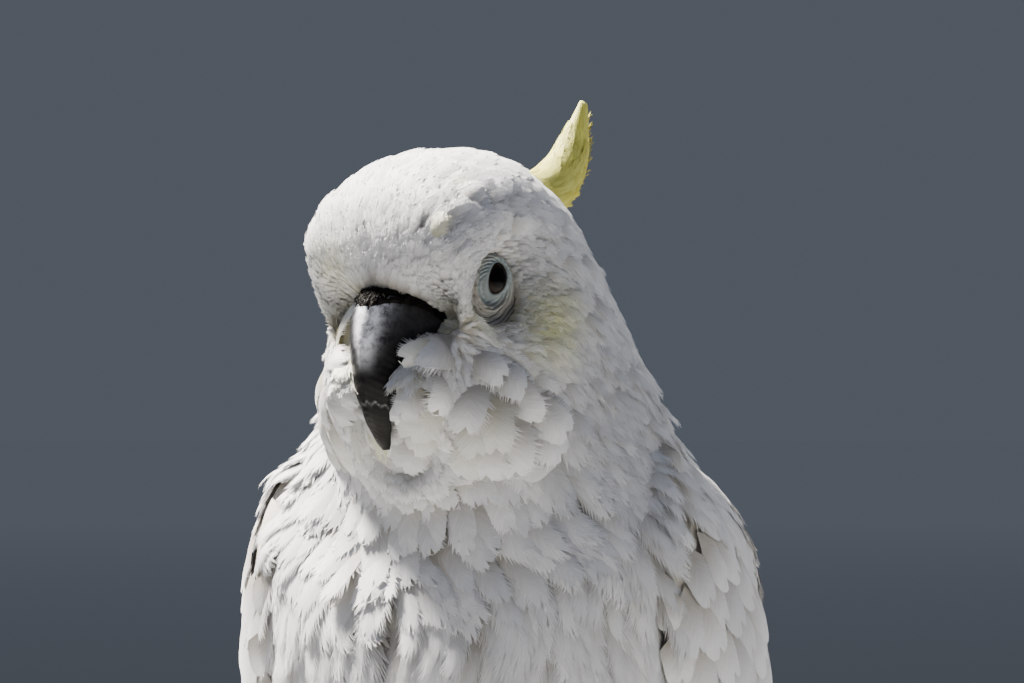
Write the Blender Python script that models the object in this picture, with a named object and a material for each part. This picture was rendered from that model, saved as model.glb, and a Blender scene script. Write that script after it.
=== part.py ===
"""A sulphur-crested cockatoo, life size, standing on a floor with its head turned.

The bird faces -Y, its left side is +X and up is +Z. The origin is on the floor under the
middle of its bounding box. Profiles are drawn in millimetres as (forward, up), the way an
anatomist draws a side view, and lofts carry a closed rib along them.
"""

import math

import bmesh
import bpy
import numpy as np
from mathutils import Matrix, Vector

MM = 0.001

# Driving dimensions, in millimetres and degrees
HEAD_CENTRE = (52.0, 290.0)  # forward and up, before the head turns
HEAD_TURN = 19.0  # towards the bird's right
HEAD_PIVOT = 37.0  # how far forward the neck's turning axis stands
EYE_RADIUS = 7.4
EYE_PLACE = (19.6, 12.0, -5.0)  # left, forward and up from the head's centre
FOOT_SPACING = 37.0  # each foot's distance from the middle
FOOT_FORWARD = -6.0
SEAT_GAP = 0.5  # how far a pocket's wall stands off the piece that sits in it
PART_GAP = 0.32  # between head, neck and trunk
FLOOR_SINK = 0.55  # how far the toes' lowest points are sunk, to be cut flat at the floor
MIDDLE_BACK = 89.76  # how far behind the drawing's upright axis the model's middle lies

# One rib of the body a row, from the bill back over the head and down to the tail's root:
# top edge (forward, up), bottom edge (forward, up), half width, how far the widest place
# lies towards the top, and the share of the head's turn that the rib follows.
BODY_RIBS = np.array(
    [
        (92, 270, 90, 256, 6, 0.00, 1.00),
        (94, 280, 86, 241, 13, 0.10, 1.00),
        (94, 289, 81, 231, 18, 0.18, 1.00),
        (92, 299, 77, 225, 23, 0.22, 1.00),
        (87, 309, 74, 222, 28, 0.24, 1.00),
        (75, 318, 71, 220, 33, 0.20, 1.00),
        (56, 322.5, 69, 218, 36, 0.14, 1.00),
        (37, 320.5, 69, 215, 38, 0.08, 0.97),
        (20, 311, 70, 211, 39.5, 0.07, 0.88),
        (8, 294, 71, 205, 43.5, 0.10, 0.70),
        (0, 273, 73, 198, 51.5, 0.11, 0.45),
        (-7, 252, 76, 189, 59.5, 0.08, 0.20),
        (-16, 231, 79, 177, 64, 0.12, 0.05),
        (-30, 209, 80, 161, 66, 0.14, 0.00),
        (-46, 187, 76, 143, 66, 0.12, 0.00),
        (-62, 167, 66, 122, 65, 0.08, 0.00),
        (-78, 148, 50, 103, 62, 0.04, 0.00),
        (-93, 131, 28, 87, 57, 0.00, 0.00),
        (-107, 116, 0, 75, 48, 0.00, 0.00),
        (-120, 104, -32, 68, 37, 0.00, 0.00),
        (-134, 95, -68, 64, 26, 0.00, 0.00),
        (-150, 86, -105, 60, 17, 0.00, 0.00),
        (-163, 74, -150, 60, 8, 0.00, 0.00),
    ],
    float,
)
FULLNESS = 0.82  # under 1, the body's ribs fill their corners
HEAD_END = 8.6  # the rib, counted along the table, where the head meets the neck
NECK_END = 11.5

# Soft pulls on the body's surface, as with a grab brush: centre (left, forward, up), radius,
# and the pull (left, forward, up). Each is mirrored to the other side.
BODY_PULLS = (
    ((18, 86, 250), 13, (0, 4, 1)),  # cheek feathers fluffed forward over the bill
    ((34, 65, 285), 14, (-12, 0, 0)),  # hollow of the eye
    ((14, 90, 274), 10, (1, -18, 0)),  # lores, beside the bill
    ((30, 80, 268), 13, (-5, -1, 0)),  # the face narrows between brow and cheek
    ((27, 82, 299), 12, (2, 1, 0)),  # brow
    ((0, 84, 236), 11, (0, -7, 0)),  # valley of the chin, under the bill
    ((50, -18, 207), 28, (15, -3, 3)),  # shoulder feathers over the folded wing's root
)

# Upper bill: culmen point and tomium point (forward, up from the head's centre), half width
UPPER_BILL_RIBS = (
    ((22, -9), (8, -19), 12.6),
    ((31, -7.5), (13, -23), 13.0),
    ((39, -8.5), (19, -28), 12.2),
    ((44.5, -14), (26, -32), 10.4),
    ((46.2, -23.5), (31, -36), 8.0),
    ((44.9, -33.5), (35, -40), 6.2),
    ((41.6, -42.5), (35.6, -45), 4.6),
    ((37.6, -49.5), (34.2, -50), 3.0),
    ((34.2, -54.2), (32.6, -53.8), 1.2),
)
BILL_KEEL = -0.25  # under 0, the upper bill is narrower along its culmen
# Lower bill: cutting edge, keel line (forward, up from the head's centre), half width
LOWER_BILL_RIBS = (
    ((6, -17), (4, -36), 8.5),
    ((14, -23), (10, -45), 10.0),
    ((22, -30), (17, -50), 10.0),
    ((28, -36), (24, -51.5), 8.6),
    ((31.5, -41), (29.5, -51), 5.6),
)
# Crest: front edge, back edge (forward, up from the head's centre), half width
CREST_RIBS = (
    ((2, 27), (4, 20), 4.0),
    ((-12, 29), (-12, 18), 6.0),
    ((-30, 28), (-34, 13), 7.0),
    ((-45, 27), (-52, 12), 6.8),
    ((-56, 30), (-68, 19), 6.0),
    ((-64, 35), (-76, 28), 5.0),
    ((-70.5, 41), (-81, 37), 3.8),
    ((-76, 46.5), (-82.5, 44.5), 2.2),
)

# Wing: upper edge and lower edge (left, forward, up), half thickness and outward bow
WING_RIBS = (
    ((55.5, 39, 229), (58, 47, 212), 2.5, 1.0),
    ((55.5, 19, 232.5), (59.5, 49, 191), 5.8, 4.0),
    ((59, -8, 226.5), (60.5, 43.5, 164), 6.8, 7.0),
    ((63, -32, 208), (60, 26, 134), 7.0, 10.0),
    ((57, -57, 184), (58, -4, 107), 7.0, 12.0),
    ((44, -84, 157), (47, -42, 89), 6.4, 12.5),
    ((30, -112, 129), (35, -88, 77), 5.4, 10.0),
    ((19, -142, 104), (26, -130, 67), 4.4, 6.5),
    ((12, -174, 81), (20, -168, 60), 3.4, 3.5),
    ((8, -205, 61), (15, -202, 47), 2.6, 2.0),
    ((6, -226, 48), (10, -224, 42), 1.2, 0.6),
)
# Tail: half width, forward, up, half thickness and how far its middle is arched
TAIL_RIBS = (
    (11, -88, 92, 4.0, 1.0),
    (15, -110, 81, 5.0, 2.0),
    (19, -145, 63.5, 4.0, 3.0),
    (23, -185, 43.5, 3.0, 3.0),
    (26, -225, 23.0, 2.6, 3.0),
    (27, -252, 9.6, 2.2, 2.6),
    (21, -266, 3.0, 1.9, 1.6),
    (9, -274, 0.8, 1.4, 0.4),
)

# Leg: centre line of the feathered thigh (left, forward, up) and its radius across and along
THIGH_RIBS = (
    ((30, 16, 112), 15, 20),
    ((32, 8, 94), 19, 26),
    ((34, -4, 74), 17, 22),
    ((36, -17, 54), 12.5, 15),
    ((37, -27, 38), 8.0, 9.0),
    ((37, -30, 31), 5.5, 6.0),
)
SHANK_RIBS = (
    ((37, -31, 37), 4.0, 4.2),
    ((37, -29, 29), 4.8, 5.2),
    ((37, -21, 19), 4.5, 4.8),
    ((37, -10, 10), 5.2, 5.6),
    ((37, -4, 6.5), 4.2, 4.2),
)
# Toes, inner and outer front then outer and inner hind: length, direction in degrees from
# straight ahead (outwards is positive), number of pads
TOES = ((31, -16, 2), (43, 17, 3), (40, 158, 4), (23, 206, 2))
TOE_RADIUS = 4.4
TOE_TIP_RADIUS = 3.3
TOE_DEPTH = 0.92  # a toe's depth over its width
CLAW_LENGTH = 15.0
CLAW_RADIUS = 2.5

LEFT = np.array([[1.0, 0.0, 0.0]])
FEATHER_WHITE = (0.86, 0.86, 0.84)
CREST_YELLOW = (0.86, 0.80, 0.30)
BILL_BLACK = (0.035, 0.035, 0.04)
SKIN_GREY = (0.13, 0.13, 0.14)
EYE_BLACK = (0.02, 0.012, 0.01)


def clear_scene():
    for old in list(bpy.data.objects):
        bpy.data.objects.remove(old)


def material(name, colour, roughness):
    made = bpy.data.materials.new(name)
    made.use_nodes = True
    shader = made.node_tree.nodes["Principled BSDF"]
    shader.inputs["Base Color"].default_value = (*colour, 1.0)
    shader.inputs["Roughness"].default_value = roughness
    shader.inputs["Metallic"].default_value = 0.0
    made.diffuse_color = (*colour, 1.0)
    return made


def smooth_rows(rows, at):
    """Rows read at places between them, on a Catmull-Rom spline through every row."""
    rows = np.asarray(rows, float)
    ends = np.vstack([2 * rows[0] - rows[1], rows, 2 * rows[-1] - rows[-2]])
    at = np.clip(at, 0, len(rows) - 1)
    first = np.minimum(at.astype(int), len(rows) - 2)
    t = (at - first)[:, None]
    p0, p1, p2, p3 = (ends[first + k] for k in range(4))
    return 0.5 * (
        2 * p1
        + (p2 - p0) * t
        + (2 * p0 - 5 * p1 + 4 * p2 - p3) * t**2
        + (3 * p1 - p0 - 3 * p2 + p3) * t**3
    )


def rib_points(upper, lower, width, bow, egg, sides, outward=None, square=1.0):
    """Rings of points. Each rib is an ellipse between its two edges, bowed to one side.

    With square under 1 the ellipse fills its corners a little.
    """
    mids, halves = (upper + lower) / 2, (upper - lower) / 2
    if outward is None:
        outward = np.cross(np.gradient(mids, axis=0), halves)
        outward /= np.linalg.norm(outward, axis=1, keepdims=True)
    angle = np.arange(sides) * 2 * math.pi / sides
    c, s = np.cos(angle)[None, :, None], np.sin(angle)[None, :, None]
    reach = width[:, None, None] * (1 + egg[:, None, None] * c)
    reach = reach * np.sign(s) * np.abs(s) ** square
    reach = reach + bow[:, None, None] * (1 - c**2)
    return mids[:, None] + halves[:, None] * c + outward[:, None] * reach


def skin_rings(name, rings, stuff):
    """A closed mesh over rings of points, each end closed by a flat or nearly flat face."""
    shape = bmesh.new()
    loops = [[shape.verts.new(Vector(p) * MM) for p in ring] for ring in rings]
    count = len(loops[0])
    for near, far in zip(loops, loops[1:]):
        for i in range(count):
            j = (i + 1) % count
            shape.faces.new((near[i], near[j], far[j], far[i]))
    shape.faces.new(loops[0][::-1])
    shape.faces.new(loops[-1])
    bmesh.ops.recalc_face_normals(shape, faces=shape.faces)
    mesh = bpy.data.meshes.new(name)
    shape.to_mesh(mesh)
    shape.free()
    if stuff:
        mesh.materials.append(stuff)
        mesh.shade_smooth()
    made = bpy.data.objects.new(name, mesh)
    bpy.context.scene.collection.objects.link(made)
    return made


def mirrored(rings):
    return rings * np.array([-1.0, 1.0, 1.0])


def pocket_of(piece):
    """A hidden copy of a piece, a little larger all round, that cuts its seat elsewhere."""
    mesh = piece.data.copy()
    for vertex in mesh.vertices:
        vertex.co += vertex.normal * SEAT_GAP * MM
    cutter = bpy.data.objects.new(piece.name + ".pocket", mesh)
    bpy.context.scene.collection.objects.link(cutter)
    cutter.hide_render = True
    cutter.display_type = "WIRE"
    return cutter


def seat(piece, *others):
    """Cuts a pocket in piece for each of the others."""
    for other in others:
        cut = piece.modifiers.new("seat of " + other.name, "BOOLEAN")
        cut.operation = "DIFFERENCE"
        cut.solver = "EXACT"
        cut.object = pocket_of(other)


def turned(points, share):
    """Points turned about the neck's upright axis by a share of the head's turn."""
    angle = np.radians(-HEAD_TURN) * np.asarray(share)
    c, s = np.cos(angle), np.sin(angle)
    x, y = points[..., 0], points[..., 1] + HEAD_PIVOT
    return np.stack([x * c - y * s, x * s + y * c - HEAD_PIVOT, points[..., 2]], axis=-1)


def head_place(left, forward, up):
    """A place given from the head's centre, with the head turned."""
    at = np.array([left, -(HEAD_CENTRE[0] + forward), HEAD_CENTRE[1] + up], float)
    return turned(at, 1.0)


def pulled(points):
    """The soft pulls of BODY_PULLS, on both sides."""
    moved = points.copy()
    for (left, forward, up), radius, (pull_left, pull_forward, pull_up) in BODY_PULLS:
        for side in (1, -1):
            centre = np.array([side * left, -forward, up])
            pull = np.array([side * pull_left, -pull_forward, pull_up])
            near = np.exp(-((points - centre) ** 2).sum(-1) / radius**2)
            moved += near[..., None] * pull
    return moved


def body_rings(first, last, count, sides):
    """The body's surface between two places along its table of ribs."""
    at = np.linspace(first, last, count)
    rib = smooth_rows(BODY_RIBS, at)
    flat = np.zeros(count)
    upper = np.stack([flat, -rib[:, 0], rib[:, 1]], axis=1)
    lower = np.stack([flat, -rib[:, 2], rib[:, 3]], axis=1)
    rings = rib_points(upper, lower, rib[:, 4], flat, rib[:, 5], sides, LEFT, FULLNESS)
    return turned(pulled(rings), rib[:, 6][:, None])


def cut_back(rings, which, step):
    """Moves one end ring along its own normal, to leave the thin cut between two parts."""
    ring = rings[which]
    quarter = len(ring) // 4
    normal = np.cross(ring[quarter] - ring[0], ring[2 * quarter] - ring[0])
    normal /= np.linalg.norm(normal)
    towards = rings[1 if which == 0 else -2].mean(0) - ring.mean(0)
    rings[which] = ring + normal * step * np.sign(normal @ towards)
    return rings


def head_neck_trunk(stuff):
    head = cut_back(body_rings(0, HEAD_END, 20, 32), -1, PART_GAP / 2)
    neck = body_rings(HEAD_END, NECK_END, 6, 28)
    neck = cut_back(cut_back(neck, 0, PART_GAP / 2), -1, PART_GAP / 2)
    trunk = body_rings(NECK_END, len(BODY_RIBS) - 1, 15, 24)
    trunk = cut_back(trunk, 0, PART_GAP / 2)
    names = ("head", "neck", "trunk")
    return [skin_rings(n, r, stuff) for n, r in zip(names, (head, neck, trunk))]


def head_loft(name, ribs, count, sides, stuff, egg=0.0):
    """A piece of the head drawn in side view, such as half of the bill or the crest."""
    rows = np.array([(*a, *b, width) for a, b, width in ribs], float)
    rib = smooth_rows(rows, np.linspace(0, len(rows) - 1, count))
    flat = np.zeros(count)
    f, u = HEAD_CENTRE
    upper = np.stack([flat, -(rib[:, 0] + f), rib[:, 1] + u], axis=1)
    lower = np.stack([flat, -(rib[:, 2] + f), rib[:, 3] + u], axis=1)
    rings = rib_points(upper, lower, rib[:, 4], flat, flat + egg, sides, LEFT)
    return skin_rings(name, turned(rings, 1.0), stuff)


def eye(name, side, stuff):
    left, forward, up = EYE_PLACE
    ball = bmesh.new()
    place = Matrix.Translation(Vector(head_place(side * left, forward, up)) * MM)
    bmesh.ops.create_icosphere(ball, subdivisions=2, radius=EYE_RADIUS * MM, matrix=place)
    mesh = bpy.data.meshes.new(name)
    ball.to_mesh(mesh)
    ball.free()
    mesh.materials.append(stuff)
    mesh.shade_smooth()
    made = bpy.data.objects.new(name, mesh)
    bpy.context.scene.collection.objects.link(made)
    return made


def wing_rings(count=17, sides=14):
    rows = np.array([(*a, *b, half, bow) for a, b, half, bow in WING_RIBS], float)
    rib = smooth_rows(rows, np.linspace(0, len(rows) - 1, count))
    rib[:, [1, 4]] *= -1
    return rib_points(rib[:, :3], rib[:, 3:6], rib[:, 6], rib[:, 7], np.zeros(count), sides)


def tail_rings(count=11, sides=14):
    rib = smooth_rows(TAIL_RIBS, np.linspace(0, len(TAIL_RIBS) - 1, count))
    right = np.stack([-rib[:, 0], -rib[:, 1], rib[:, 2]], axis=1)
    left = right * np.array([-1.0, 1.0, 1.0])
    return rib_points(right, left, rib[:, 3], rib[:, 4], np.zeros(count), sides)


def limb_rings(ribs, count, sides):
    """A limb about a centre line: each rib is an ellipse square to the line."""
    rows = np.array([(*centre, across, deep) for centre, across, deep in ribs], float)
    rib = smooth_rows(rows, np.linspace(0, len(rows) - 1, count))
    centre = rib[:, :3] * np.array([1.0, -1.0, 1.0])
    along = np.gradient(centre, axis=0)
    front = np.cross(along, np.array([1.0, 0.0, 0.0]))
    front *= rib[:, 4:5] / np.linalg.norm(front, axis=1, keepdims=True)
    none = np.zeros(count)
    return rib_points(centre + front, centre - front, rib[:, 3], none, none, sides)


def toe_line(length, degrees, count):
    """A toe's centre line, from the ball of the foot down to the floor and along it."""
    angle = math.radians(degrees)
    go = np.linspace(0, length, count)
    radius = TOE_RADIUS + (TOE_TIP_RADIUS - TOE_RADIUS) * go / length
    height = TOE_DEPTH * radius - FLOOR_SINK + 1.6 * np.exp(-go / 8.0)
    x = FOOT_SPACING + go * math.sin(angle)
    y = -(FOOT_FORWARD + go * math.cos(angle))
    return np.stack([x, y, height], axis=1)


def toe_rings(length, degrees, pads, count=10, sides=8):
    """A toe, swollen once for each pad, round at its tip."""
    centre = toe_line(length, degrees, count)
    t = np.linspace(0, 1, count)
    radius = TOE_RADIUS + (TOE_TIP_RADIUS - TOE_RADIUS) * t
    radius = radius * (1 + 0.10 * np.cos(2 * math.pi * pads * (t - 0.5 / pads)))
    radius[-1] *= 0.6
    up = np.array([[0.0, 0.0, 1.0]]) * radius[:, None] * TOE_DEPTH
    none = np.zeros(count)
    return rib_points(centre + up, centre - up, radius, none, none, sides)


def claw_rings(length, degrees, count=7, sides=6):
    """A claw that springs from the toe's tip and curves down to the floor."""
    angle = math.radians(degrees)
    t = np.linspace(0, 1, count)
    tip_of_toe = toe_line(length, degrees, 3)[-1]
    out = -2.5 + CLAW_LENGTH * np.sin(t * 1.25) / math.sin(1.25) * 0.86
    rise = 1.0 + 4.4 * np.sin(t * math.pi * 0.62) - 7.9 * t**2
    x = tip_of_toe[0] + out * math.sin(angle)
    y = tip_of_toe[1] - out * math.cos(angle)
    centre = np.stack([x, y, tip_of_toe[2] + rise], axis=1)
    radius = CLAW_RADIUS * (1 - t**1.6) + 0.3
    along = np.gradient(centre, axis=0)
    side = np.array([math.cos(angle), math.sin(angle), 0.0])
    top = np.cross(side, along)
    top *= radius[:, None] * 1.15 / np.linalg.norm(top, axis=1, keepdims=True)
    none = np.zeros(count)
    return rib_points(centre + top, centre - top, radius * 0.85, none, none, sides)


def join(target, *others):
    """Unites shapes into target and hides the others."""
    for other in others:
        add = target.modifiers.new("with " + other.name, "BOOLEAN")
        add.operation = "UNION"
        add.solver = "EXACT"
        add.object = other
        other.hide_render = True
        other.display_type = "WIRE"


def floor_cutter():
    """A slab whose top is the floor: what reaches into it is flattened."""
    slab = bmesh.new()
    size = Matrix.Diagonal((0.9, 0.9, 0.05, 1.0))
    place = Matrix.Translation((0, 0.1, -0.025))
    bmesh.ops.create_cube(slab, size=1.0, matrix=place @ size)
    mesh = bpy.data.meshes.new("floor.cutter")
    slab.to_mesh(mesh)
    slab.free()
    cutter = bpy.data.objects.new("floor.cutter", mesh)
    bpy.context.scene.collection.objects.link(cutter)
    cutter.hide_render = True
    cutter.display_type = "WIRE"
    return cutter


def trim_to(piece, floor):
    cut = piece.modifiers.new("flat on the floor", "BOOLEAN")
    cut.operation = "DIFFERENCE"
    cut.solver = "EXACT"
    cut.object = floor


def leg(side_name, flip, feathers, scales, horn, floor):
    """One leg: feathered thigh, scaly foot with four toes, and four claws."""
    thigh = skin_rings("thigh_" + side_name, flip(limb_rings(THIGH_RIBS, 10, 16)), feathers)
    foot = skin_rings("foot_" + side_name, flip(limb_rings(SHANK_RIBS, 8, 12)), scales)
    toes = [
        skin_rings(f"toe_{side_name}_{i + 1}", flip(toe_rings(*toe)), None)
        for i, toe in enumerate(TOES)
    ]
    join(foot, *toes)
    trim_to(foot, floor)
    claws = []
    for i, (length, degrees, _) in enumerate(TOES):
        rings = flip(claw_rings(length, degrees))
        claws.append(skin_rings(f"claw_{side_name}_{i + 1}", rings, horn))
        trim_to(claws[-1], floor)
    seat(foot, *claws)
    seat(thigh, foot)
    return thigh


def main():
    clear_scene()
    feathers = material("white feathers", FEATHER_WHITE, 0.85)
    yellow = material("yellow crest feathers", CREST_YELLOW, 0.8)
    horn = material("black horn", BILL_BLACK, 0.4)
    scales = material("grey scaly skin", SKIN_GREY, 0.6)
    wet = material("dark eye", EYE_BLACK, 0.05)

    head, neck, trunk = head_neck_trunk(feathers)
    upper_bill = head_loft("upper_bill", UPPER_BILL_RIBS, 14, 14, horn, BILL_KEEL)
    lower_bill = head_loft("lower_bill", LOWER_BILL_RIBS, 7, 12, horn)
    crest = head_loft("crest", CREST_RIBS, 13, 10, yellow)
    eyes = [eye("eye_left", 1, wet), eye("eye_right", -1, wet)]
    seat(lower_bill, upper_bill)
    seat(head, upper_bill, lower_bill, crest, *eyes)

    floor = floor_cutter()
    wings = [
        skin_rings("wing_left", wing_rings(), feathers),
        skin_rings("wing_right", mirrored(wing_rings()), feathers),
    ]
    tail = skin_rings("tail", tail_rings(), feathers)
    trim_to(tail, floor)
    thighs = []
    for side_name, flip in (("left", lambda rings: rings), ("right", mirrored)):
        thighs.append(leg(side_name, flip, feathers, scales, horn, floor))
    seat(neck, *wings)
    seat(trunk, *wings, tail, *thighs)
    for piece in bpy.data.objects:
        piece.location.y = -MIDDLE_BACK * MM


main()
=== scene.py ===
# %% [markdown]
# # A sulphur-crested cockatoo, life size
# A white parrot stands on a plain floor with its head turned to its right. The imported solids
# give every size and place. Here each is dressed: one closed skin, then a coat of separate
# feathers, the horn of the bill and claws, the wet eyes and the scaly feet.

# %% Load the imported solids
import math

import bpy
import numpy as np
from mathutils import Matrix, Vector


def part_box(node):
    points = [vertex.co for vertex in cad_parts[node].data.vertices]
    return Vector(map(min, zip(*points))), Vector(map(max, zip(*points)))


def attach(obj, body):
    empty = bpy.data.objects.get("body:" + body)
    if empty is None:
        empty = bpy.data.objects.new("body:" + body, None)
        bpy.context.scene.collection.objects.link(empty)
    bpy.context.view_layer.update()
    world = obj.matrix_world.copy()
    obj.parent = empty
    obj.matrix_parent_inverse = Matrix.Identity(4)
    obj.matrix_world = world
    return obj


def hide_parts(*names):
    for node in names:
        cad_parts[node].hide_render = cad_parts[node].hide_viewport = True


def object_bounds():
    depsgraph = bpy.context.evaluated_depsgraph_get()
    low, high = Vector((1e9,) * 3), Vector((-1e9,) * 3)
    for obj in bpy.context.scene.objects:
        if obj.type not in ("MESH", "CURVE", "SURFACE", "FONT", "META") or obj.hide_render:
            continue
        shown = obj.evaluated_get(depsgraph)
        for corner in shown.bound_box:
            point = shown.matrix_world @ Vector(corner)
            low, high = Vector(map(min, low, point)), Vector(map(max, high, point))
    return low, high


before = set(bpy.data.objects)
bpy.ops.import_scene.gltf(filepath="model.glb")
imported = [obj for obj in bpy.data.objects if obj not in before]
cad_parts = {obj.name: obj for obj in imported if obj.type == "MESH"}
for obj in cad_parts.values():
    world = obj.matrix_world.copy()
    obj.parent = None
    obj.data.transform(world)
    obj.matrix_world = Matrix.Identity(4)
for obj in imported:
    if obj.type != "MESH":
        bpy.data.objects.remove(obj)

bpy.context.view_layer.update()
cad_low, cad_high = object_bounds()
print("solids:", len(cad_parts), "box", cad_low, cad_high)

# %% [markdown]
# ## The drawing
# The bird is drawn in millimetres as the solids are: ribs, each an oval between an upper and a
# lower edge, carried from the bill to the tail. A modeller could also sculpt it freely, but a
# skin that repeats the ribs stays exactly inside the solid it replaces.

# %% The ribs of the body, wing, tail, thigh and bill
MM = 0.001
HEAD_CENTRE = (52.0, 290.0)  # forward, up
HEAD_TURN, HEAD_PIVOT = 19.0, 37.0
EYE_RADIUS = 7.4
EYE_PLACE = np.array([19.6, 12.0, -5.0])  # left, forward, up from the head's centre
FULLNESS = 0.82
LEFT = np.array([1.0, 0.0, 0.0])
SIDES = (("left", np.ones(3)), ("right", np.array([-1.0, 1.0, 1.0])))
# top forward, up; bottom forward, up; half width; egg; share of the head's turn
BODY_RIBS = np.array([
    (92, 270, 90, 256, 6, 0, 1), (94, 280, 86, 241, 13, .10, 1), (94, 289, 81, 231, 18, .18, 1),
    (92, 299, 77, 225, 23, .22, 1), (87, 309, 74, 222, 28, .24, 1), (75, 318, 71, 220, 33, .20, 1),
    (56, 322.5, 69, 218, 36, .14, 1), (37, 320.5, 69, 215, 38, .08, .97),
    (20, 311, 70, 211, 39.5, .07, .88), (8, 294, 71, 205, 43.5, .10, .70),
    (0, 273, 73, 198, 51.5, .11, .45), (-7, 252, 76, 189, 59.5, .08, .20),
    (-16, 231, 79, 177, 64, .12, .05), (-30, 209, 80, 161, 66, .14, 0),
    (-46, 187, 76, 143, 66, .12, 0), (-62, 167, 66, 122, 65, .08, 0),
    (-78, 148, 50, 103, 62, .04, 0), (-93, 131, 28, 87, 57, 0, 0), (-107, 116, 0, 75, 48, 0, 0),
    (-120, 104, -32, 68, 37, 0, 0), (-134, 95, -68, 64, 26, 0, 0), (-150, 86, -105, 60, 17, 0, 0),
    (-163, 74, -150, 60, 8, 0, 0)], float)
# centre left, forward, up; radius; pull left, forward, up
BODY_PULLS = np.array([
    (18, 86, 250, 13, 0, 4, 1), (34, 65, 285, 14, -12, 0, 0), (14, 90, 274, 10, 1, -18, 0),
    (30, 80, 268, 13, -5, -1, 0), (27, 82, 299, 12, 2, 1, 0), (0, 84, 236, 11, 0, -7, 0),
    (50, -18, 207, 28, 15, -3, 3)], float)
# upper edge left, forward, up; lower edge left, forward, up; half thickness; bow
WING_RIBS = np.array([
    (55.5, 39, 229, 58, 47, 212, 2.5, 1), (55.5, 19, 232.5, 59.5, 49, 191, 5.8, 4),
    (59, -8, 226.5, 60.5, 43.5, 164, 6.8, 7), (63, -32, 208, 60, 26, 134, 7, 10),
    (57, -57, 184, 58, -4, 107, 7, 12), (44, -84, 157, 47, -42, 89, 6.4, 12.5),
    (30, -112, 129, 35, -88, 77, 5.4, 10), (19, -142, 104, 26, -130, 67, 4.4, 6.5),
    (12, -174, 81, 20, -168, 60, 3.4, 3.5), (8, -205, 61, 15, -202, 47, 2.6, 2),
    (6, -226, 48, 10, -224, 42, 1.2, .6)], float)
# half width, forward, up, half thickness, arch
TAIL_RIBS = np.array([
    (11, -88, 92, 4, 1), (15, -110, 81, 5, 2), (19, -145, 63.5, 4, 3), (23, -185, 43.5, 3, 3),
    (26, -225, 23, 2.6, 3), (27, -252, 9.6, 2.2, 2.6), (21, -266, 3, 1.9, 1.6),
    (9, -274, .8, 1.4, .4)], float)
# centre left, forward, up; half size across and along
THIGH_RIBS = np.array([
    (30, 16, 112, 15, 20), (32, 8, 94, 19, 26), (34, -4, 74, 17, 22), (36, -17, 54, 12.5, 15),
    (37, -27, 38, 8, 9), (37, -30, 31, 5.5, 6)], float)
# upper edge forward, up; lower edge forward, up from the head's centre; half width
UPPER_BILL = np.array([
    (22, -9, 8, -19, 12.6), (31, -7.5, 13, -23, 13), (39, -8.5, 19, -28, 12.2),
    (44.5, -14, 26, -32, 10.4), (46.2, -23.5, 31, -36, 8), (44.9, -33.5, 35, -40, 6.2),
    (41.6, -42.5, 35.6, -45, 4.6), (37.6, -49.5, 34.2, -50, 3), (34.2, -54.2, 32.6, -53.8, 1.2)])
LOWER_BILL = np.array([
    (6, -17, 4, -36, 8.5), (14, -23, 10, -45, 10), (22, -30, 17, -50, 10),
    (28, -36, 24, -51.5, 8.6), (31.5, -41, 29.5, -51, 5.6)])
CREST_RIBS = np.array([
    (2, 27, 4, 20, 4), (-12, 29, -12, 18, 6), (-30, 28, -34, 13, 7), (-45, 27, -52, 12, 6.8),
    (-56, 30, -68, 19, 6), (-64, 35, -76, 28, 5), (-70.5, 41, -81, 37, 3.8),
    (-76, 46.5, -82.5, 44.5, 2.2)])


# %% Read rows between their places, and turn the head
def smooth_rows(rows, at):
    """Rows read between their places: a Catmull-Rom cubic through the four nearest rows."""
    ends = np.vstack([2 * rows[0] - rows[1], rows, 2 * rows[-1] - rows[-2]])
    at = np.clip(at, 0, len(rows) - 1)
    first = np.minimum(at.astype(int), len(rows) - 2)
    t = (at - first)[..., None]
    p0, p1, p2, p3 = (ends[first + k] for k in range(4))
    return 0.5 * (2 * p1 + (p2 - p0) * t + (2 * p0 - 5 * p1 + 4 * p2 - p3) * t**2
                  + (3 * p1 - p0 - 3 * p2 + p3) * t**3)


def unit(vectors):
    """Each vector divided by its own length."""
    return vectors / np.maximum(np.linalg.norm(vectors, axis=-1, keepdims=True), 1e-9)


def turned(points, share):
    """Points turned about the neck's upright axis by a share of the head's turn."""
    angle = np.radians(-HEAD_TURN) * np.asarray(share)
    c, s = np.cos(angle), np.sin(angle)
    x, y = points[..., 0], points[..., 1] + HEAD_PIVOT
    return np.stack([x * c - y * s, x * s + y * c - HEAD_PIVOT, points[..., 2]], -1)


def head_place(local):
    """Left, forward and up from the head's centre, put in its place with the head turned."""
    local = np.asarray(local, float)
    drawn = np.stack([local[..., 0], -(HEAD_CENTRE[0] + local[..., 1]),
                      HEAD_CENTRE[1] + local[..., 2]], -1)
    return turned(drawn, 1.0)


def head_local(points):
    """The reverse of head_place: left, forward and up from the head's centre."""
    back = turned(points, -1.0)
    return np.stack([back[..., 0], -back[..., 1] - HEAD_CENTRE[0],
                     back[..., 2] - HEAD_CENTRE[1]], -1)


eye_low, eye_high = (np.array(corner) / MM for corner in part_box("eye_left"))
SHIFT = (eye_low + eye_high) / 2 - head_place(EYE_PLACE)
print("the drawing stands", SHIFT.round(2), "mm from the frame's origin")

# %% [markdown]
# ## Surfaces of two numbers
# Each part is a function of how far along it is and of the angle round it. The same function
# makes the skin's mesh and tells a feather where its root is and which way the skin runs.


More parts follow.
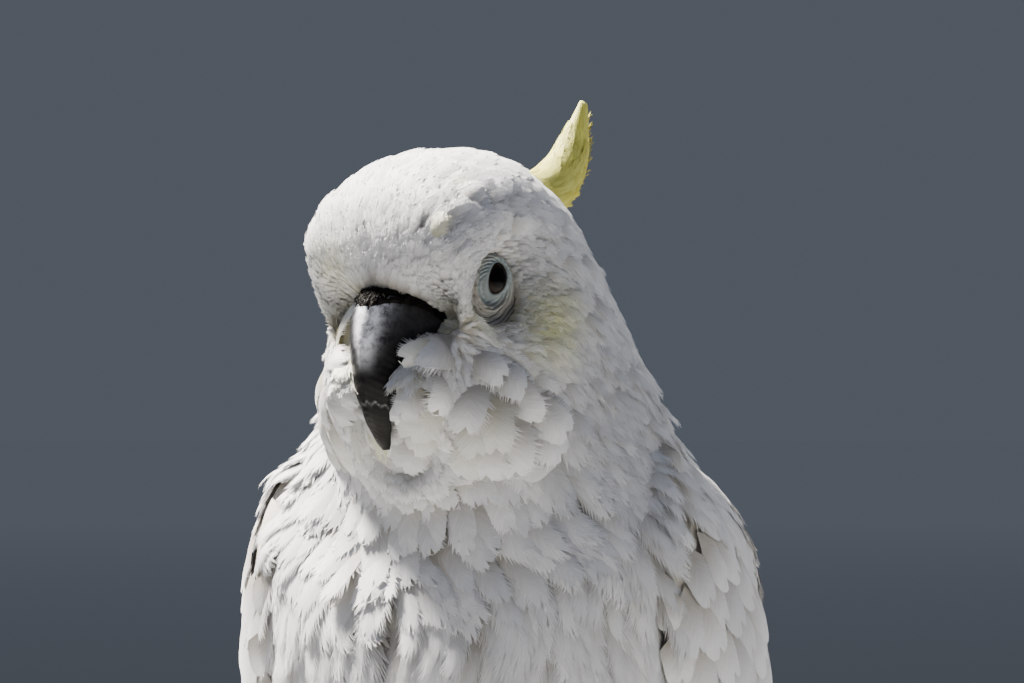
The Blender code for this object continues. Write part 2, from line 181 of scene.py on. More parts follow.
# %% Ovals, and the body as a surface
def oval(upper, lower, width, bow, egg, outward, angle, square=1.0):
    """Middle + half height x cos + outward x (width (1 + egg cos) sin^square + bow sin^2)."""
    c, s = np.cos(angle)[..., None], np.sin(angle)[..., None]
    reach = width * (1 + egg * c) * np.sign(s) * np.abs(s) ** square + bow * s**2
    return (upper + lower) / 2 + (upper - lower) / 2 * c + outward * reach


def in_side_view(forward, up):
    """Points of the middle plane from forward and up."""
    return np.stack([np.zeros_like(forward), -forward, up], -1)


def pulled(points):
    """Each soft pull moves points by pull x exp(-distance^2 / radius^2), on both sides."""
    moved = points.copy()
    for left, forward, up, radius, *pull in BODY_PULLS:
        for side in (1, -1):
            away = points - np.array([side * left, -forward, up])
            near = np.exp(-(away**2).sum(-1) / radius**2)
            moved += near[..., None] * np.array([side * pull[0], -pull[1], pull[2]])
    return moved


def body_surface(at, angle):
    """The outer surface of head, neck and trunk: ribs, pulled, then turned with the head."""
    rib = smooth_rows(BODY_RIBS, at)
    upper = in_side_view(rib[..., 0], rib[..., 1])
    lower = in_side_view(rib[..., 2], rib[..., 3])
    drawn = oval(upper, lower, rib[..., 4:5], 0, rib[..., 5:6], LEFT, angle, FULLNESS)
    return turned(pulled(drawn), rib[..., 6])


def plate_surface(rows, at, angle, fill=(1.0, 1.0)):
    """A plate such as a wing: an oval between two edges, square to its own middle line."""
    rib = smooth_rows(rows, at)
    ahead, behind = smooth_rows(rows, at + 0.05), smooth_rows(rows, at - 0.05)
    along = (ahead - behind)[..., :3] + (ahead - behind)[..., 3:6]
    outward = unit(np.cross(along, rib[..., :3] - rib[..., 3:6]))
    middle, half = (rib[..., :3] + rib[..., 3:6]) / 2, (rib[..., :3] - rib[..., 3:6]) / 2
    return oval(middle + half * fill[0], middle - half * fill[0], rib[..., 6:7] * fill[1],
                rib[..., 7:8], 0, outward, angle)


# %% Wing and tail as surfaces
WING_ROWS = WING_RIBS * np.array([1, -1, 1, 1, -1, 1, 1, 1])
TAIL_ROWS = np.stack([-TAIL_RIBS[:, 0], -TAIL_RIBS[:, 1], TAIL_RIBS[:, 2], TAIL_RIBS[:, 0],
                      -TAIL_RIBS[:, 1], TAIL_RIBS[:, 2], TAIL_RIBS[:, 3], TAIL_RIBS[:, 4]], 1)


def wing_surface(at, angle):
    """The left wing, folded: angle 0 is its upper edge, and a quarter turn its outer face."""
    return plate_surface(WING_ROWS, at, angle)


def tail_surface(at, angle):
    """The tail: angle 0 is its right edge, and a quarter turn its upper face."""
    return plate_surface(TAIL_ROWS, at, angle)


tips = wing_surface(np.array([0.0, 10.0]), np.zeros(2))
print("wing:", np.linalg.norm(tips[1] - tips[0]).round(1), "mm from bend to tip")


# %% Limbs, bill and crest as surfaces
def limb_surface(rows, at, angle):
    """A limb: an ellipse square to its centre line, from its front round the inner side."""
    rib = smooth_rows(rows, at)
    flip = np.array([1.0, -1.0, 1.0])
    along = (smooth_rows(rows, at + 0.05) - smooth_rows(rows, at - 0.05))[..., :3] * flip
    front = unit(np.cross(along, LEFT))
    inner = unit(np.cross(along, front))
    return (rib[..., :3] * flip + front * rib[..., 4:5] * np.cos(angle)[..., None]
            + inner * rib[..., 3:4] * np.sin(angle)[..., None])


def thigh_surface(at, angle):
    """The left thigh with its feathers."""
    return limb_surface(THIGH_RIBS, at, angle)


def head_piece(rows, at, angle, egg=0.0):
    """Half of the bill or the crest: ribs drawn in side view from the head's centre."""
    rib = smooth_rows(rows, at)
    forward, up = HEAD_CENTRE
    upper = in_side_view(rib[..., 0] + forward, rib[..., 1] + up)
    lower = in_side_view(rib[..., 2] + forward, rib[..., 3] + up)
    return turned(oval(upper, lower, rib[..., 4:5], 0, egg, LEFT, angle), 1.0)


def frames_of(surface, a, b, step=2e-3):
    """Point, both tangents by central differences, and their cross product outwards."""
    along = (surface(a + step, b) - surface(a - step, b)) / (2 * step)
    around = (surface(a, b + step) - surface(a, b - step)) / (2 * step)
    return surface(a, b), along, around, unit(np.cross(around, along))


# %% [markdown]
# ## Meshes and materials
# All pieces go through one function that takes points in the drawing's millimetres. Feathers
# carry a second map in which each is one tiny patch, so that a baked colour stays its own.


# %% Make a mesh object from arrays
def mesh_piece(name, points, faces, stuff, maps=None, values=None):
    """Points times a thousandth plus the frame's shift, and faces with 3 or 4 corners."""
    faces = [np.asarray(f) for f in faces if len(f)]
    corners = np.concatenate([f.ravel() for f in faces]).astype(np.int32)
    sizes = np.concatenate([np.full(len(f), f.shape[1]) for f in faces])
    mesh = bpy.data.meshes.new(name)
    mesh.vertices.add(len(points))
    mesh.vertices.foreach_set("co", ((points + SHIFT) * MM).astype(np.float32).ravel())
    mesh.loops.add(len(corners))
    mesh.loops.foreach_set("vertex_index", corners)
    mesh.polygons.add(len(sizes))
    starts = (np.cumsum(sizes) - sizes).astype(np.int32)
    mesh.polygons.foreach_set("loop_start", starts)
    mesh.update(calc_edges=True)
    for map_name, uv in (maps or {}).items():
        layer = mesh.uv_layers.new(name=map_name)
        layer.data.foreach_set("uv", uv[corners].astype(np.float32).ravel())
    for value_name, value in (values or {}).items():
        made = mesh.attributes.new(value_name, "FLOAT", "POINT")
        made.data.foreach_set("value", np.asarray(value, np.float32).ravel())
    mesh.shade_smooth()
    mesh.materials.append(stuff)
    piece = bpy.data.objects.new(name, mesh)
    bpy.context.scene.collection.objects.link(piece)
    return piece


# %% Rings joined in closed tubes
def outwards(points, faces):
    """The faces of a closed mesh, all turned round if its signed volume is below nothing."""
    volume = sum(np.einsum("ij,ij->i", points[f[:, 0]], np.cross(points[f[:, k]],
                                                               points[f[:, k + 1]])).sum()
                 for f in faces for k in range(1, f.shape[1] - 1))
    return faces if volume > 0 else [f[:, ::-1] for f in faces]


def closed_tube(rings):
    """Points and faces of rings joined in a tube, with a fan to a middle point at each end."""
    count, sides = rings.shape[:2]
    i, j = np.meshgrid(np.arange(count - 1), np.arange(sides), indexing="ij")
    k = (j + 1) % sides
    quads = np.stack([i * sides + j, i * sides + k, (i + 1) * sides + k, (i + 1) * sides + j], -1)
    points = np.vstack([rings.reshape(-1, 3), rings[0].mean(0), rings[-1].mean(0)])
    near, far = count * sides, count * sides + 1
    ring = np.arange(sides)
    after = (ring + 1) % sides
    last = (count - 1) * sides
    caps = np.concatenate([np.stack([ring * 0 + near, after, ring], -1),
                           np.stack([ring * 0 + far, last + ring, last + after], -1)])
    return points, outwards(points, [quads.reshape(-1, 4), caps])


def around_grid(at, sides):
    """A grid of the places along, and of so many angles round a whole turn."""
    return np.meshgrid(at, np.arange(sides) * 2 * math.pi / sides, indexing="ij")


def tube_of(surface, low, high, count, sides, shape=lambda t: t):
    """A surface read on a grid of count rings and sides, and closed."""
    at = low + (high - low) * shape(np.linspace(0, 1, count))
    return closed_tube(surface(*around_grid(at, sides)))


# %% Colours, nodes and materials
def linear(colour):
    """An sRGB hex colour as linear red, green, blue and alpha."""
    part = np.array([int(colour[i:i + 2], 16) for i in (1, 3, 5)]) / 255
    part = np.where(part > 0.04045, ((part + 0.055) / 1.055) ** 2.4, part / 12.92)
    return (*part, 1.0)


def wire(tree, node, **links):
    """Values and links for inputs by name, or by number after i. A node gives its first output."""
    for key, source in links.items():
        where = int(key[1:]) if key[1:].isdigit() else key.replace("_", " ")
        if isinstance(source, bpy.types.Node):
            source = next(socket for socket in source.outputs if socket.enabled)
        if isinstance(source, bpy.types.NodeSocket):
            tree.links.new(source, node.inputs[where])
        else:
            node.inputs[where].default_value = source


TIMES = {"data_type": "RGBA", "blend_type": "MULTIPLY"}  # a mix of two colours as their product


def add_node(tree, kind, settings=None, **links):
    """A node with its settings and links. A colour ramp's stops are (place, hex or grey)."""
    made = tree.nodes.new(kind)
    for key, value in (settings or {}).items():
        if key == "stops":
            slots = made.color_ramp.elements
            while len(slots) < len(value):
                slots.new(0.5)
            for slot, (place, colour) in zip(slots, value):
                slot.position = place
                slot.color = linear(colour) if isinstance(colour, str) else (*[colour] * 3, 1)
        elif hasattr(made, key):
            setattr(made, key, value)
        else:
            made.inputs[key].default_value = value
    wire(tree, made, **links)
    return made


def new_material(name, **settings):
    """A material with its Principled shader, whose sockets take the settings by name."""
    made = bpy.data.materials.new(name)
    made.use_nodes = True
    shader = made.node_tree.nodes["Principled BSDF"]
    wire(made.node_tree, shader, **settings)
    return made, made.node_tree, shader


# %% [markdown]
# ## Camera, floor and light
# The camera looks level at the head from a little to the bird's left, through a long lens as a
# wildlife photographer would. A lamp high over the bird's right shoulder stands for the sun
# through cloud. A bluish panel before it and a weak lamp on the other side fill the shade, and
# one from behind draws the edge. The floor is pale at the feet and paler far away, so that its
# edge melts into the air.

# %% Camera
VIEW_AZIMUTH, VIEW_DISTANCE = math.radians(12), 2.05
back = Vector((math.sin(VIEW_AZIMUTH), -math.cos(VIEW_AZIMUTH), 0))
right = Vector((math.cos(VIEW_AZIMUTH), math.sin(VIEW_AZIMUTH), 0))
middle = (cad_low + cad_high) / 2
target = Vector((middle.x, SHIFT[1] * MM, 0)) + right * 0.0035
target.z = (eye_low[2] + eye_high[2]) / 2 * MM - 0.018
camera = bpy.data.objects.new("camera", bpy.data.cameras.new("camera"))
bpy.context.scene.collection.objects.link(camera)
camera.data.sensor_width, camera.data.lens = 36.0, 242.4
camera.data.clip_start, camera.data.clip_end = 0.1, 60
camera.location = target + back * VIEW_DISTANCE
camera.rotation_euler = (-back).to_track_quat("-Z", "Y").to_euler()
bpy.context.scene.camera = camera
print("camera", camera.location, "looks at", target)

# %% Floor
# Matt paint scatters light evenly, so the floor shows a tone and soft shadows but no glint.
floor_stuff, tree, shader = new_material("matt painted studio floor", Roughness=0.9)
place = add_node(tree, "ShaderNodeTexCoord").outputs["Object"]
metres = add_node(tree, "ShaderNodeVectorMath", {"operation": "LENGTH"}, i0=place)
share = add_node(tree, "ShaderNodeMath", {"operation": "DIVIDE"}, i0=metres, i1=8.0)
wire(tree, shader, Base_Color=add_node(tree, "ShaderNodeValToRGB", {
    "stops": [(0.0, "#b6b6b4"), (0.25, "#cfcfcd"), (1.0, "#fdfdfd")]}, i0=share))
FLOOR_RADIUS, FLOOR_CORNERS = 16000.0, 96
rim = np.linspace(0, 2 * math.pi, FLOOR_CORNERS, endpoint=False)
disc = np.stack([np.cos(rim), np.sin(rim), rim * 0], -1) * FLOOR_RADIUS
corner = np.arange(FLOOR_CORNERS)
fan = np.stack([corner, (corner + 1) % FLOOR_CORNERS, corner * 0 + FLOOR_CORNERS], -1)
floor = mesh_piece("floor", np.vstack([disc, [[0, 0, 0]]]) - SHIFT, [fan], floor_stuff)
print("floor:", FLOOR_CORNERS, "corners")

# %% Lamps and air
# name: to the right, to the camera and up from the target; size, watts, colour
LAMPS = {"key": (-0.72, -0.36, 1.22, 0.28, 19, "#fff7ec"),
         "panel": (-0.95, 0.85, 0.95, 0.32, 4.2, "#dfe6ff"),
         "fill": (1.4, 0.15, 0.5, 1.0, 4.6, "#dfe8ff"),
         "rim": (0.5, -1.0, 0.9, 0.5, 7, "#ffffff")}
KEY_SPREAD, AIR = math.radians(50), 0.2
for name, (aside, ahead, up, size, watts, colour) in LAMPS.items():
    lamp = bpy.data.objects.new(name, bpy.data.lights.new(name, "AREA"))
    lamp.data.shape = "DISK"
    lamp.data.size, lamp.data.energy, lamp.data.color = size, watts, linear(colour)[:3]
    lamp.location = target + right * aside + back * ahead + Vector((0, 0, up))
    lamp.rotation_euler = (target - lamp.location).to_track_quat("-Z", "Y").to_euler()
    lamp.visible_glossy = name == "key"
    bpy.context.scene.collection.objects.link(lamp)
bpy.data.lights["key"].spread = KEY_SPREAD
world = bpy.data.worlds.new("studio air")
bpy.context.scene.world = world
world.use_nodes = True
wire(world.node_tree, world.node_tree.nodes["Background"], Color=linear("#b0bbce"), Strength=AIR)
print("lamps:", *LAMPS)

# %% [markdown]
# ## One skin
# Under the feathers is one closed skin. It lies inside the solids by the depth of the coat:
# under a millimetre on the face, three on the breast. It shows only round the eye, where a
# cockatoo has a bare, bluish-white, wrinkled ring. Body, wings, tail and thighs are united
# into one closed mesh, so that no seam shows between them.

# %% The coat's depth and the eyes' dishes
EYE_AXIS = unit(np.array([0.943, 0.333, 0.03]))
RING_EDGE = 9.8  # bare skin's radius
RING_SHIFT = np.array([0.0, 2.8, -3.2])  # its middle lies ahead of and below the eye's


def smoothstep(low, high, value):
    """0 below low, 1 above high, and 3 t^2 - 2 t^3 between."""
    t = np.clip((value - low) / (high - low), 0, 1)
    return t * t * (3 - 2 * t)


def eye_frame(flip):
    """One eye's centre, its outward axis and the middle of its bare ring, in the drawing."""
    centre = head_place(EYE_PLACE * flip)
    return (centre, head_place((EYE_PLACE + EYE_AXIS) * flip) - centre,
            head_place((EYE_PLACE + RING_SHIFT) * flip))


EYES = [eye_frame(flip) for _, flip in SIDES]


def eye_distance(points):
    """Distance from the nearer bare ring's axis, height over the eye, and the way outwards."""
    found = []
    for centre, axis, ring in EYES:
        height = (points - centre) @ axis
        away = points - ring
        flat = away - (away @ axis)[..., None] * axis
        found.append((np.linalg.norm(flat, axis=-1) + 40 * (height < -4), height, flat))
    first = found[0][0] < found[1][0]
    distance, height = (np.where(first, found[0][k], found[1][k]) for k in (0, 1))
    return distance, height, unit(np.where(first[..., None], found[0][2], found[1][2]))


# %% The skin's surface under the coat
def coat_depth(at):
    """How far the skin lies under the feathers' outside, along the body's ribs."""
    return np.interp(at, (0, 2, 4, 6, 8, 11, 18, 20, 22), (.8, .9, 1.2, 1.6, 2.2, 3, 3, 2.2, 1.2))


def skin_surface(at, angle):
    """The body's surface, moved inwards by the coat's depth and dished for each eye."""
    point, _, _, normal = frames_of(body_surface, at, angle)
    point = point - normal * coat_depth(at)[..., None]
    distance, height, _ = eye_distance(point)
    share = (1 - smoothstep(8.9, 13.6, distance)) * (height > 0)
    axis = np.where((head_local(point)[..., :1] > 0), EYES[0][1], EYES[1][1])
    return point + axis * (share * (3.9 - height))[..., None]


print("eye centre", EYES[0][0].round(2), "axis", EYES[0][1].round(3))

# %% The section of the bare ring round an eye
WRINKLE = 1.15  # mm between the ring's folds
OPENING_TILT = 0.26  # the opening's top leans back


def ring_surface(flip, at, angle):
    """The ring's section, at 0 to 1 from the lid's edge outwards, with folds cos(2 pi r / w).

    The lid's edge follows the ball: height^2 = (ball + 0.5)^2 - radius^2. The opening is
    narrower than it is high, and the ring's outside is moved ahead and down.
    """
    tilted = angle + OPENING_TILT
    inner = 4.55 / np.sqrt(np.cos(tilted) ** 2 + (np.sin(tilted) / 0.66) ** 2)
    outer = ring_reach(angle)
    radius = inner + (outer - inner) * np.clip(at, 0, 1) ** 0.9
    on_ball = np.sqrt(np.clip((EYE_RADIUS + 0.5) ** 2 - radius**2, 1, None))
    slope = 6.5 - 2.3 * smoothstep(0.25, 0.85, at) - 1.8 * smoothstep(0.88, 1.0, at)
    height = on_ball + (slope - on_ball) * smoothstep(0.12, 0.40, at)
    height = height - 0.6 * (1 - smoothstep(0, 0.06, at))
    wave = outer - radius + 0.22 * np.sin(2 * angle + 0.6) + 0.14 * np.sin(5 * angle)
    fold = np.cos(2 * math.pi * wave / WRINKLE) + 0.35 * np.sin(23 * angle + 2 * radius)
    height = height + 0.34 * fold * smoothstep(.10, .2, at) * (1 - smoothstep(.9, 1, at))
    return on_eye_axis(flip, radius, height, angle)


def ring_reach(angle):
    """From the eye's axis to the ring's outside: a circle about a middle moved down and ahead."""
    middle = np.array([RING_SHIFT[2], RING_SHIFT[1]])
    along = middle[0] * np.cos(angle) + middle[1] * np.sin(angle)
    return along + np.sqrt((RING_EDGE + 1.9) ** 2 - (middle**2).sum() + along**2)


def on_eye_axis(flip, radius, height, angle):
    """Centre + axis x height + a circle of that radius square to the axis, from up to ahead."""
    centre, axis, _ = EYES[0]
    up = unit(np.array([0.0, 0.0, 1.0]) - axis * axis[2])
    circle = up * np.cos(angle)[..., None] + np.cross(axis, up) * np.sin(angle)[..., None]
    placed = head_local(centre + axis * height[..., None] + circle * radius[..., None])
    return head_place(placed * flip)


# %% Each ring as a closed mesh
def eye_ring(flip, count=46, sides=144):
    """A closed ring: the wrinkled face outwards, and a plain underside that lies in the skin."""
    face = ring_surface(flip, *around_grid(np.linspace(0, 1, count), sides))
    inner = np.linalg.norm(face[0] - np.roll(face[0], sides // 2, 0), axis=-1) / 2
    share, angle = around_grid((0.9, 0.6, 0.3, 0.0), sides)
    height, _ = around_grid((1.6, 2.2, 3.2, 4.6), sides)
    under = on_eye_axis(flip, inner + (ring_reach(angle) - inner) * share, height, angle)
    rings = np.concatenate([face, under])
    rows, columns = rings.shape[:2]
    i, j = np.meshgrid(np.arange(rows), np.arange(columns), indexing="ij")
    k, l = (i + 1) % rows, (j + 1) % columns
    quads = np.stack([i * columns + j, k * columns + j, k * columns + l, i * columns + l], -1)
    points = rings.reshape(-1, 3)
    return points, outwards(points, [quads.reshape(-1, 4)])


# %% Skin as skin: downy white with a bare ring
# Thin skin under white down is matt. Round the eye it is bare, bluish at the lid, and its
# folds hold painted shade: their creases are painted a darker grey.
skin_stuff, tree, shader = new_material("white down on thin skin", Roughness=0.75)
place = add_node(tree, "ShaderNodeTexCoord").outputs["Object"]


def nearer_of(centres):
    """The distance in metres from the nearer of two places in the drawing."""
    ways = [add_node(tree, "ShaderNodeVectorMath", {"operation": "DISTANCE"}, i0=place,
                     i1=tuple((centre + SHIFT) * MM)) for centre in centres]
    return add_node(tree, "ShaderNodeMath", {"operation": "MINIMUM"}, i0=ways[0], i1=ways[1])


from_eye = nearer_of([eye[0] for eye in EYES])
share = add_node(tree, "ShaderNodeMath", {"operation": "DIVIDE"}, i0=from_eye, i1=0.02)
bare = add_node(tree, "ShaderNodeValToRGB", {"stops": [
    (0.0, "#3c3a38"), (0.37, "#4d4b49"), (0.405, "#98a6a8"), (0.43, "#a3a6a2"), (0.52, "#a9a69e"),
    (0.80, "#c2bfb6")]}, i0=share)
bent = add_node(tree, "ShaderNodeTexNoise", {"Scale": 160.0, "Detail": 1.0}, i0=place)
# Painted shade: a sine of the distance from the ring's middle, with the folds' spacing, darkens each
# crease.
turns = add_node(tree, "ShaderNodeMath", {"operation": "MULTIPLY"},
                 i0=nearer_of([eye[2] for eye in EYES]), i1=2000 * math.pi / WRINKLE)
phase = add_node(tree, "ShaderNodeMath", {"operation": "MULTIPLY_ADD"}, i0=bent, i1=14.0, i2=turns)
wave = add_node(tree, "ShaderNodeMath", {"operation": "SINE"}, i0=phase)
height = add_node(tree, "ShaderNodeMath", {"operation": "MULTIPLY_ADD"}, i0=wave, i1=0.5, i2=0.5)
folds = add_node(tree, "ShaderNodeValToRGB", {"stops": [(0.0, "#6a675f"), (0.42, "#ffffff")]},
                 i0=height)
on_ring = add_node(tree, "ShaderNodeValToRGB", {"stops": [
    (0.0084, 0.0), (0.0092, 1.0), (0.0150, 1.0), (0.0170, 0.0)]}, i0=from_eye)
creased = add_node(tree, "ShaderNodeMix", TIMES, i0=on_ring, i6=bare, i7=folds)
fine = add_node(tree, "ShaderNodeTexNoise", {"Scale": 900.0, "Detail": 4.0}, i0=place)
spots = add_node(tree, "ShaderNodeValToRGB", {"stops": [(0.3, "#a9a59c"), (0.7, "#ffffff")]}, i0=fine)
mottled = add_node(tree, "ShaderNodeMix", TIMES, i0=0.25, i6=creased, i7=spots)
bump = add_node(tree, "ShaderNodeBump", {"Strength": 0.4, "Distance": 0.0003}, Height=fine)
wire(tree, shader, Base_Color=mottled, Normal=bump)


# %% Unite the skin
def wing_core(at, angle):
    """The wing's flesh and quills: thinner than its solid, and drawn in from its edges."""
    return plate_surface(WING_ROWS, at, angle, (0.88, 0.55))


def tail_core(at, angle):
    """The tail's quills, thinner than its solid."""
    return plate_surface(TAIL_ROWS, at, angle, (0.85, 0.45))


def thigh_core(at, angle):
    """The thigh's flesh, inside its feathers: four fifths of its size across."""
    return limb_surface(THIGH_RIBS * np.array([1, 1, 1, .8, .82]), at, angle)


def denser_ahead(t):
    """More rings on the head, fewer on the tail: t (0.45 + 0.55 t)."""
    return t * (0.45 + 0.55 * t)


def united_mesh(shells):
    """One closed mesh from closed shells that overlap."""
    first = shells[0]
    for shell in shells[1:]:
        union = first.modifiers.new("with " + shell.name, "BOOLEAN")
        union.operation, union.solver, union.object = "UNION", "MANIFOLD", shell
    graph = bpy.context.evaluated_depsgraph_get()
    united = bpy.data.meshes.new_from_object(first.evaluated_get(graph))
    first.modifiers.clear()
    first.data = united
    united.shade_smooth()
    for shell in shells[1:]:
        bpy.data.objects.remove(shell)
    print(first.name, len(united.polygons), "faces")
    return first


# %% Join body, wings, thighs, tail and rings
parts = [("skin", *tube_of(skin_surface, 0.15, 21.8, 280, 190, denser_ahead))]
for side_name, flip in SIDES:
    for name, core, first, last in (("wing", wing_core, 0.9, 6.4), ("thigh", thigh_core, 0.1, 4.9)):
        points, faces = tube_of(core, first, last, 60, 40)
        parts.append((f"{name}_core_{side_name}", points * flip, outwards(points * flip, faces)))
parts.append(("tail_core", *tube_of(tail_core, 0.1, 3.0, 30, 40)))
parts += [("ring_" + side_name, *eye_ring(flip)) for side_name, flip in SIDES]
skin = united_mesh([mesh_piece(name, points, faces, skin_stuff) for name, points, faces in parts])
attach(skin, "root")
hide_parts("head", "neck", "trunk", "tail", "wing_left", "wing_right", "thigh_left",
            "thigh_right")

# %% [markdown]
# ## Eyes
# A grown cockatoo's eye is a brown so dark that it looks black. Only the middle of the ball
# shows between the lids, so the gloss of its wet front matters more than its shape. A ball
# turned on the eye's own axis lets a ring of dark brown iris sit round the pupil.

# %% Eye balls
eye_stuff, tree, shader = new_material("wet dark eye", Roughness=0.03, IOR=1.376,
                                       Specular_IOR_Level=0.14)
iris = add_node(tree, "ShaderNodeAttribute", {"attribute_name": "from_pupil"}).outputs["Fac"]
grain = add_node(tree, "ShaderNodeTexNoise", {"Scale": 1500.0, "Detail": 3.0},
                 i0=add_node(tree, "ShaderNodeTexCoord").outputs["Object"])
radial = add_node(tree, "ShaderNodeMath", {"operation": "MULTIPLY_ADD"}, i0=grain, i1=0.08, i2=iris)
wire(tree, shader, Base_Color=add_node(tree, "ShaderNodeValToRGB", {"stops": [
    (0.0, "#030303"), (0.42, "#050404"), (0.47, "#1d120b"), (0.72, "#150d09"), (0.85, "#080606")]},
    i0=radial))
for side_name, flip in SIDES:
    tilt, round_axis = around_grid(np.linspace(0.03, math.pi - 0.03, 40), 64)
    bulge = EYE_RADIUS * (1 + 0.03 * np.exp(-(tilt / 0.5) ** 2))
    rings = on_eye_axis(flip, bulge * np.sin(tilt), bulge * np.cos(tilt), round_axis)
    points, faces = closed_tube(rings)
    tilt = np.append(tilt, [0, math.pi])
    from_pupil = np.where(tilt > math.pi / 2, 1.0, np.sin(tilt))
    eye = mesh_piece("eyeball_" + side_name, points, faces, eye_stuff,
                     values={"from_pupil": from_pupil})
    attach(eye, "root")
    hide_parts("eye_" + side_name)
    print(eye.name, len(eye.data.polygons), "faces")

# %% [markdown]
# ## How a feather is made
# A contour feather has a shaft, a vane of barbs that hold together, and a loose fringe where
# they part. A modeller might texture a card with a picture of one. Here the vane is a grid
# whose rows run along the barbs, and the fringe is a row of slim pointed barb tips. Its root
# sits on the skin and its shaft is marched over the surface, so it bends with the body.


# %% March a shaft over a surface
STEPS = 3  # a shaft's pieces: a cubic through four points


def march(surface, at, angle, length, heading, limits):
    """Points and normals along each shaft: step = length / 3 in the heading's direction.

    The step in the surface's two numbers solves the two equations of its tangents' products.
    Past the surface's end the shaft goes on straight.
    """
    points, normals, straight = [], [], np.zeros(at.shape, bool)
    for _ in range(STEPS + 1):
        point, along, around, normal = frames_of(surface, at, angle)
        if points:
            ahead = points[-1] + way * (length / STEPS)[:, None]
            point = np.where(straight[:, None], ahead, point)
            normal = np.where(straight[:, None], normals[-1], normal)
        fresh = heading(point, unit(along), normal)
        way = np.where(straight[:, None], way, fresh) if points else fresh
        points.append(point)
        normals.append(normal)
        e, f, g = ((u * v).sum(-1) for u, v in ((along, along), (along, around), (around, around)))
        da, db = (way * along).sum(-1), (way * around).sum(-1)
        scale = length / STEPS / np.maximum(e * g - f * f, 1e-9)
        at = at + scale * (g * da - f * db)
        angle = angle + scale * (e * db - f * da)
        straight = straight | (at < limits[0]) | (at > limits[1])
        at = np.clip(at, *limits)
    return np.stack(points, 1), np.stack(normals, 1)


# %% Roots spread evenly over a surface
# 1 / g and 1 / g^2 of g^3 = g + 1: steps that never line up, so roots stand evenly but in no rows
PACES = 0.7548776662466927, 0.5698402909980532


def spread(surface, window, density, seed, cells=(170, 150)):
    """Roots over a surface, evenly for the density (feathers per square mm).

    Points of a low-discrepancy sequence go through the cumulated weight of the rows of cells,
    and then through that of the cells in their row.
    """
    edges = [np.linspace(low, high, n + 1) for (low, high), n in zip(window, cells)]
    at, angle = np.meshgrid(*[(e[1:] + e[:-1]) / 2 for e in edges], indexing="ij")
    point, along, around, normal = frames_of(surface, at, angle)
    size = (edges[0][1] - edges[0][0]) * (edges[1][1] - edges[1][0])
    weight = np.linalg.norm(np.cross(along, around), axis=-1) * size
    weight = weight * density(point, at, angle, normal) + 1e-12
    count = np.arange(int(weight.sum()))
    u = (0.5 + 0.137 * seed + count * PACES[0]) % 1
    v = (0.5 + 0.291 * seed + count * PACES[1]) % 1
    rows = np.concatenate([[0], np.cumsum(weight.sum(1))]) / weight.sum()
    row = np.clip(np.searchsorted(rows, u, side="right") - 1, 0, cells[0] - 1)
    inner = np.cumsum(weight, 1) / weight.sum(1)[:, None]
    inner = np.concatenate([np.zeros((cells[0], 1)), inner], 1)
    flat = (inner + np.arange(cells[0])[:, None]).ravel()
    cell = np.searchsorted(flat, row + v, side="right") - 1 - row * (cells[1] + 1)
    cell = np.clip(cell, 0, cells[1] - 1)
    low, high = inner[row, cell], inner[row, cell + 1]
    part = np.clip((v - low) / np.maximum(high - low, 1e-12), 0, 1)
    return np.interp(u, rows, edges[0]), edges[1][cell] + part * (edges[1][1] - edges[1][0])


# %% One feather's points and faces
def feather_plan(rows, tips, joints=1):
    """Where each point lies: q along the shaft, which side, and how far out on its barb's tip.

    The vane is rows + 1 by 5 points. A barb tip is a slim triangle that starts inside the
    vane's edge. With two joints it has a pair of points half way too, so that it can bend.
    """
    q, side = np.meshgrid(np.linspace(0, 0.97, rows + 1), [-1.0, -0.5, 0.0, 0.5, 1.0],
                          indexing="ij")
    i, j = np.meshgrid(np.arange(rows), np.arange(4), indexing="ij")
    vane = np.stack([i * 5 + j, (i + 1) * 5 + j, (i + 1) * 5 + j + 1, i * 5 + j + 1], -1)
    middle = ((np.arange(tips) + 0.5) / tips) ** 0.8 * 0.99
    half = 0.55 * np.gradient(middle)
    offsets = [-half, half] + [-half / 2 + .01, half / 2 + .01] * (joints - 1) + [half * 0 + .02]
    outs = [0.0, 0.0] + [0.5, 0.5] * (joints - 1) + [1.0]
    per = len(outs)
    quads, triangles = [vane.reshape(-1, 4)], []
    for k in (0, 1):
        first = q.size + per * tips * k + per * np.arange(tips)
        if joints == 2:
            quads.append(np.stack([first + n for n in ((0, 1, 3, 2), (0, 2, 3, 1))[k]], -1))
        a, b, c = per - 3, per - 2, per - 1
        triangles.append(np.stack([first + n for n in ((a, b, c), (a, c, b))[k]], -1))
    tip_q = np.clip((middle[:, None] + np.stack(offsets, -1)).ravel(), 0, 1.03)
    return {"q": np.concatenate([q.ravel(), tip_q, tip_q]),
            "side": np.concatenate([side.ravel(), np.repeat([-1.0, 1.0], tips * per)]),
            "out": np.concatenate([np.full(q.size, -1.0), np.tile(outs, 2 * tips)]),
            "faces": (np.concatenate(quads), np.concatenate(triangles)),
            "tips": 2 * tips, "per": per}


print("a small feather:", len(feather_plan(3, 10)["q"]), "points")


# %% All feathers of one plan
def cubic_weights(x):
    """Lagrange weights, and their slopes, of four points at 0, 1/3, 2/3 and 1."""
    knots = np.arange(4) / 3
    weights, slopes = [], []
    for k in range(4):
        others = [m for m in knots if m != knots[k]]
        below = np.prod([knots[k] - m for m in others])
        a, b, c = (x - m for m in others)
        weights.append(a * b * c / below)
        slopes.append((a * b + b * c + a * c) / below)
    return np.stack(weights, -1), np.stack(slopes, -1)


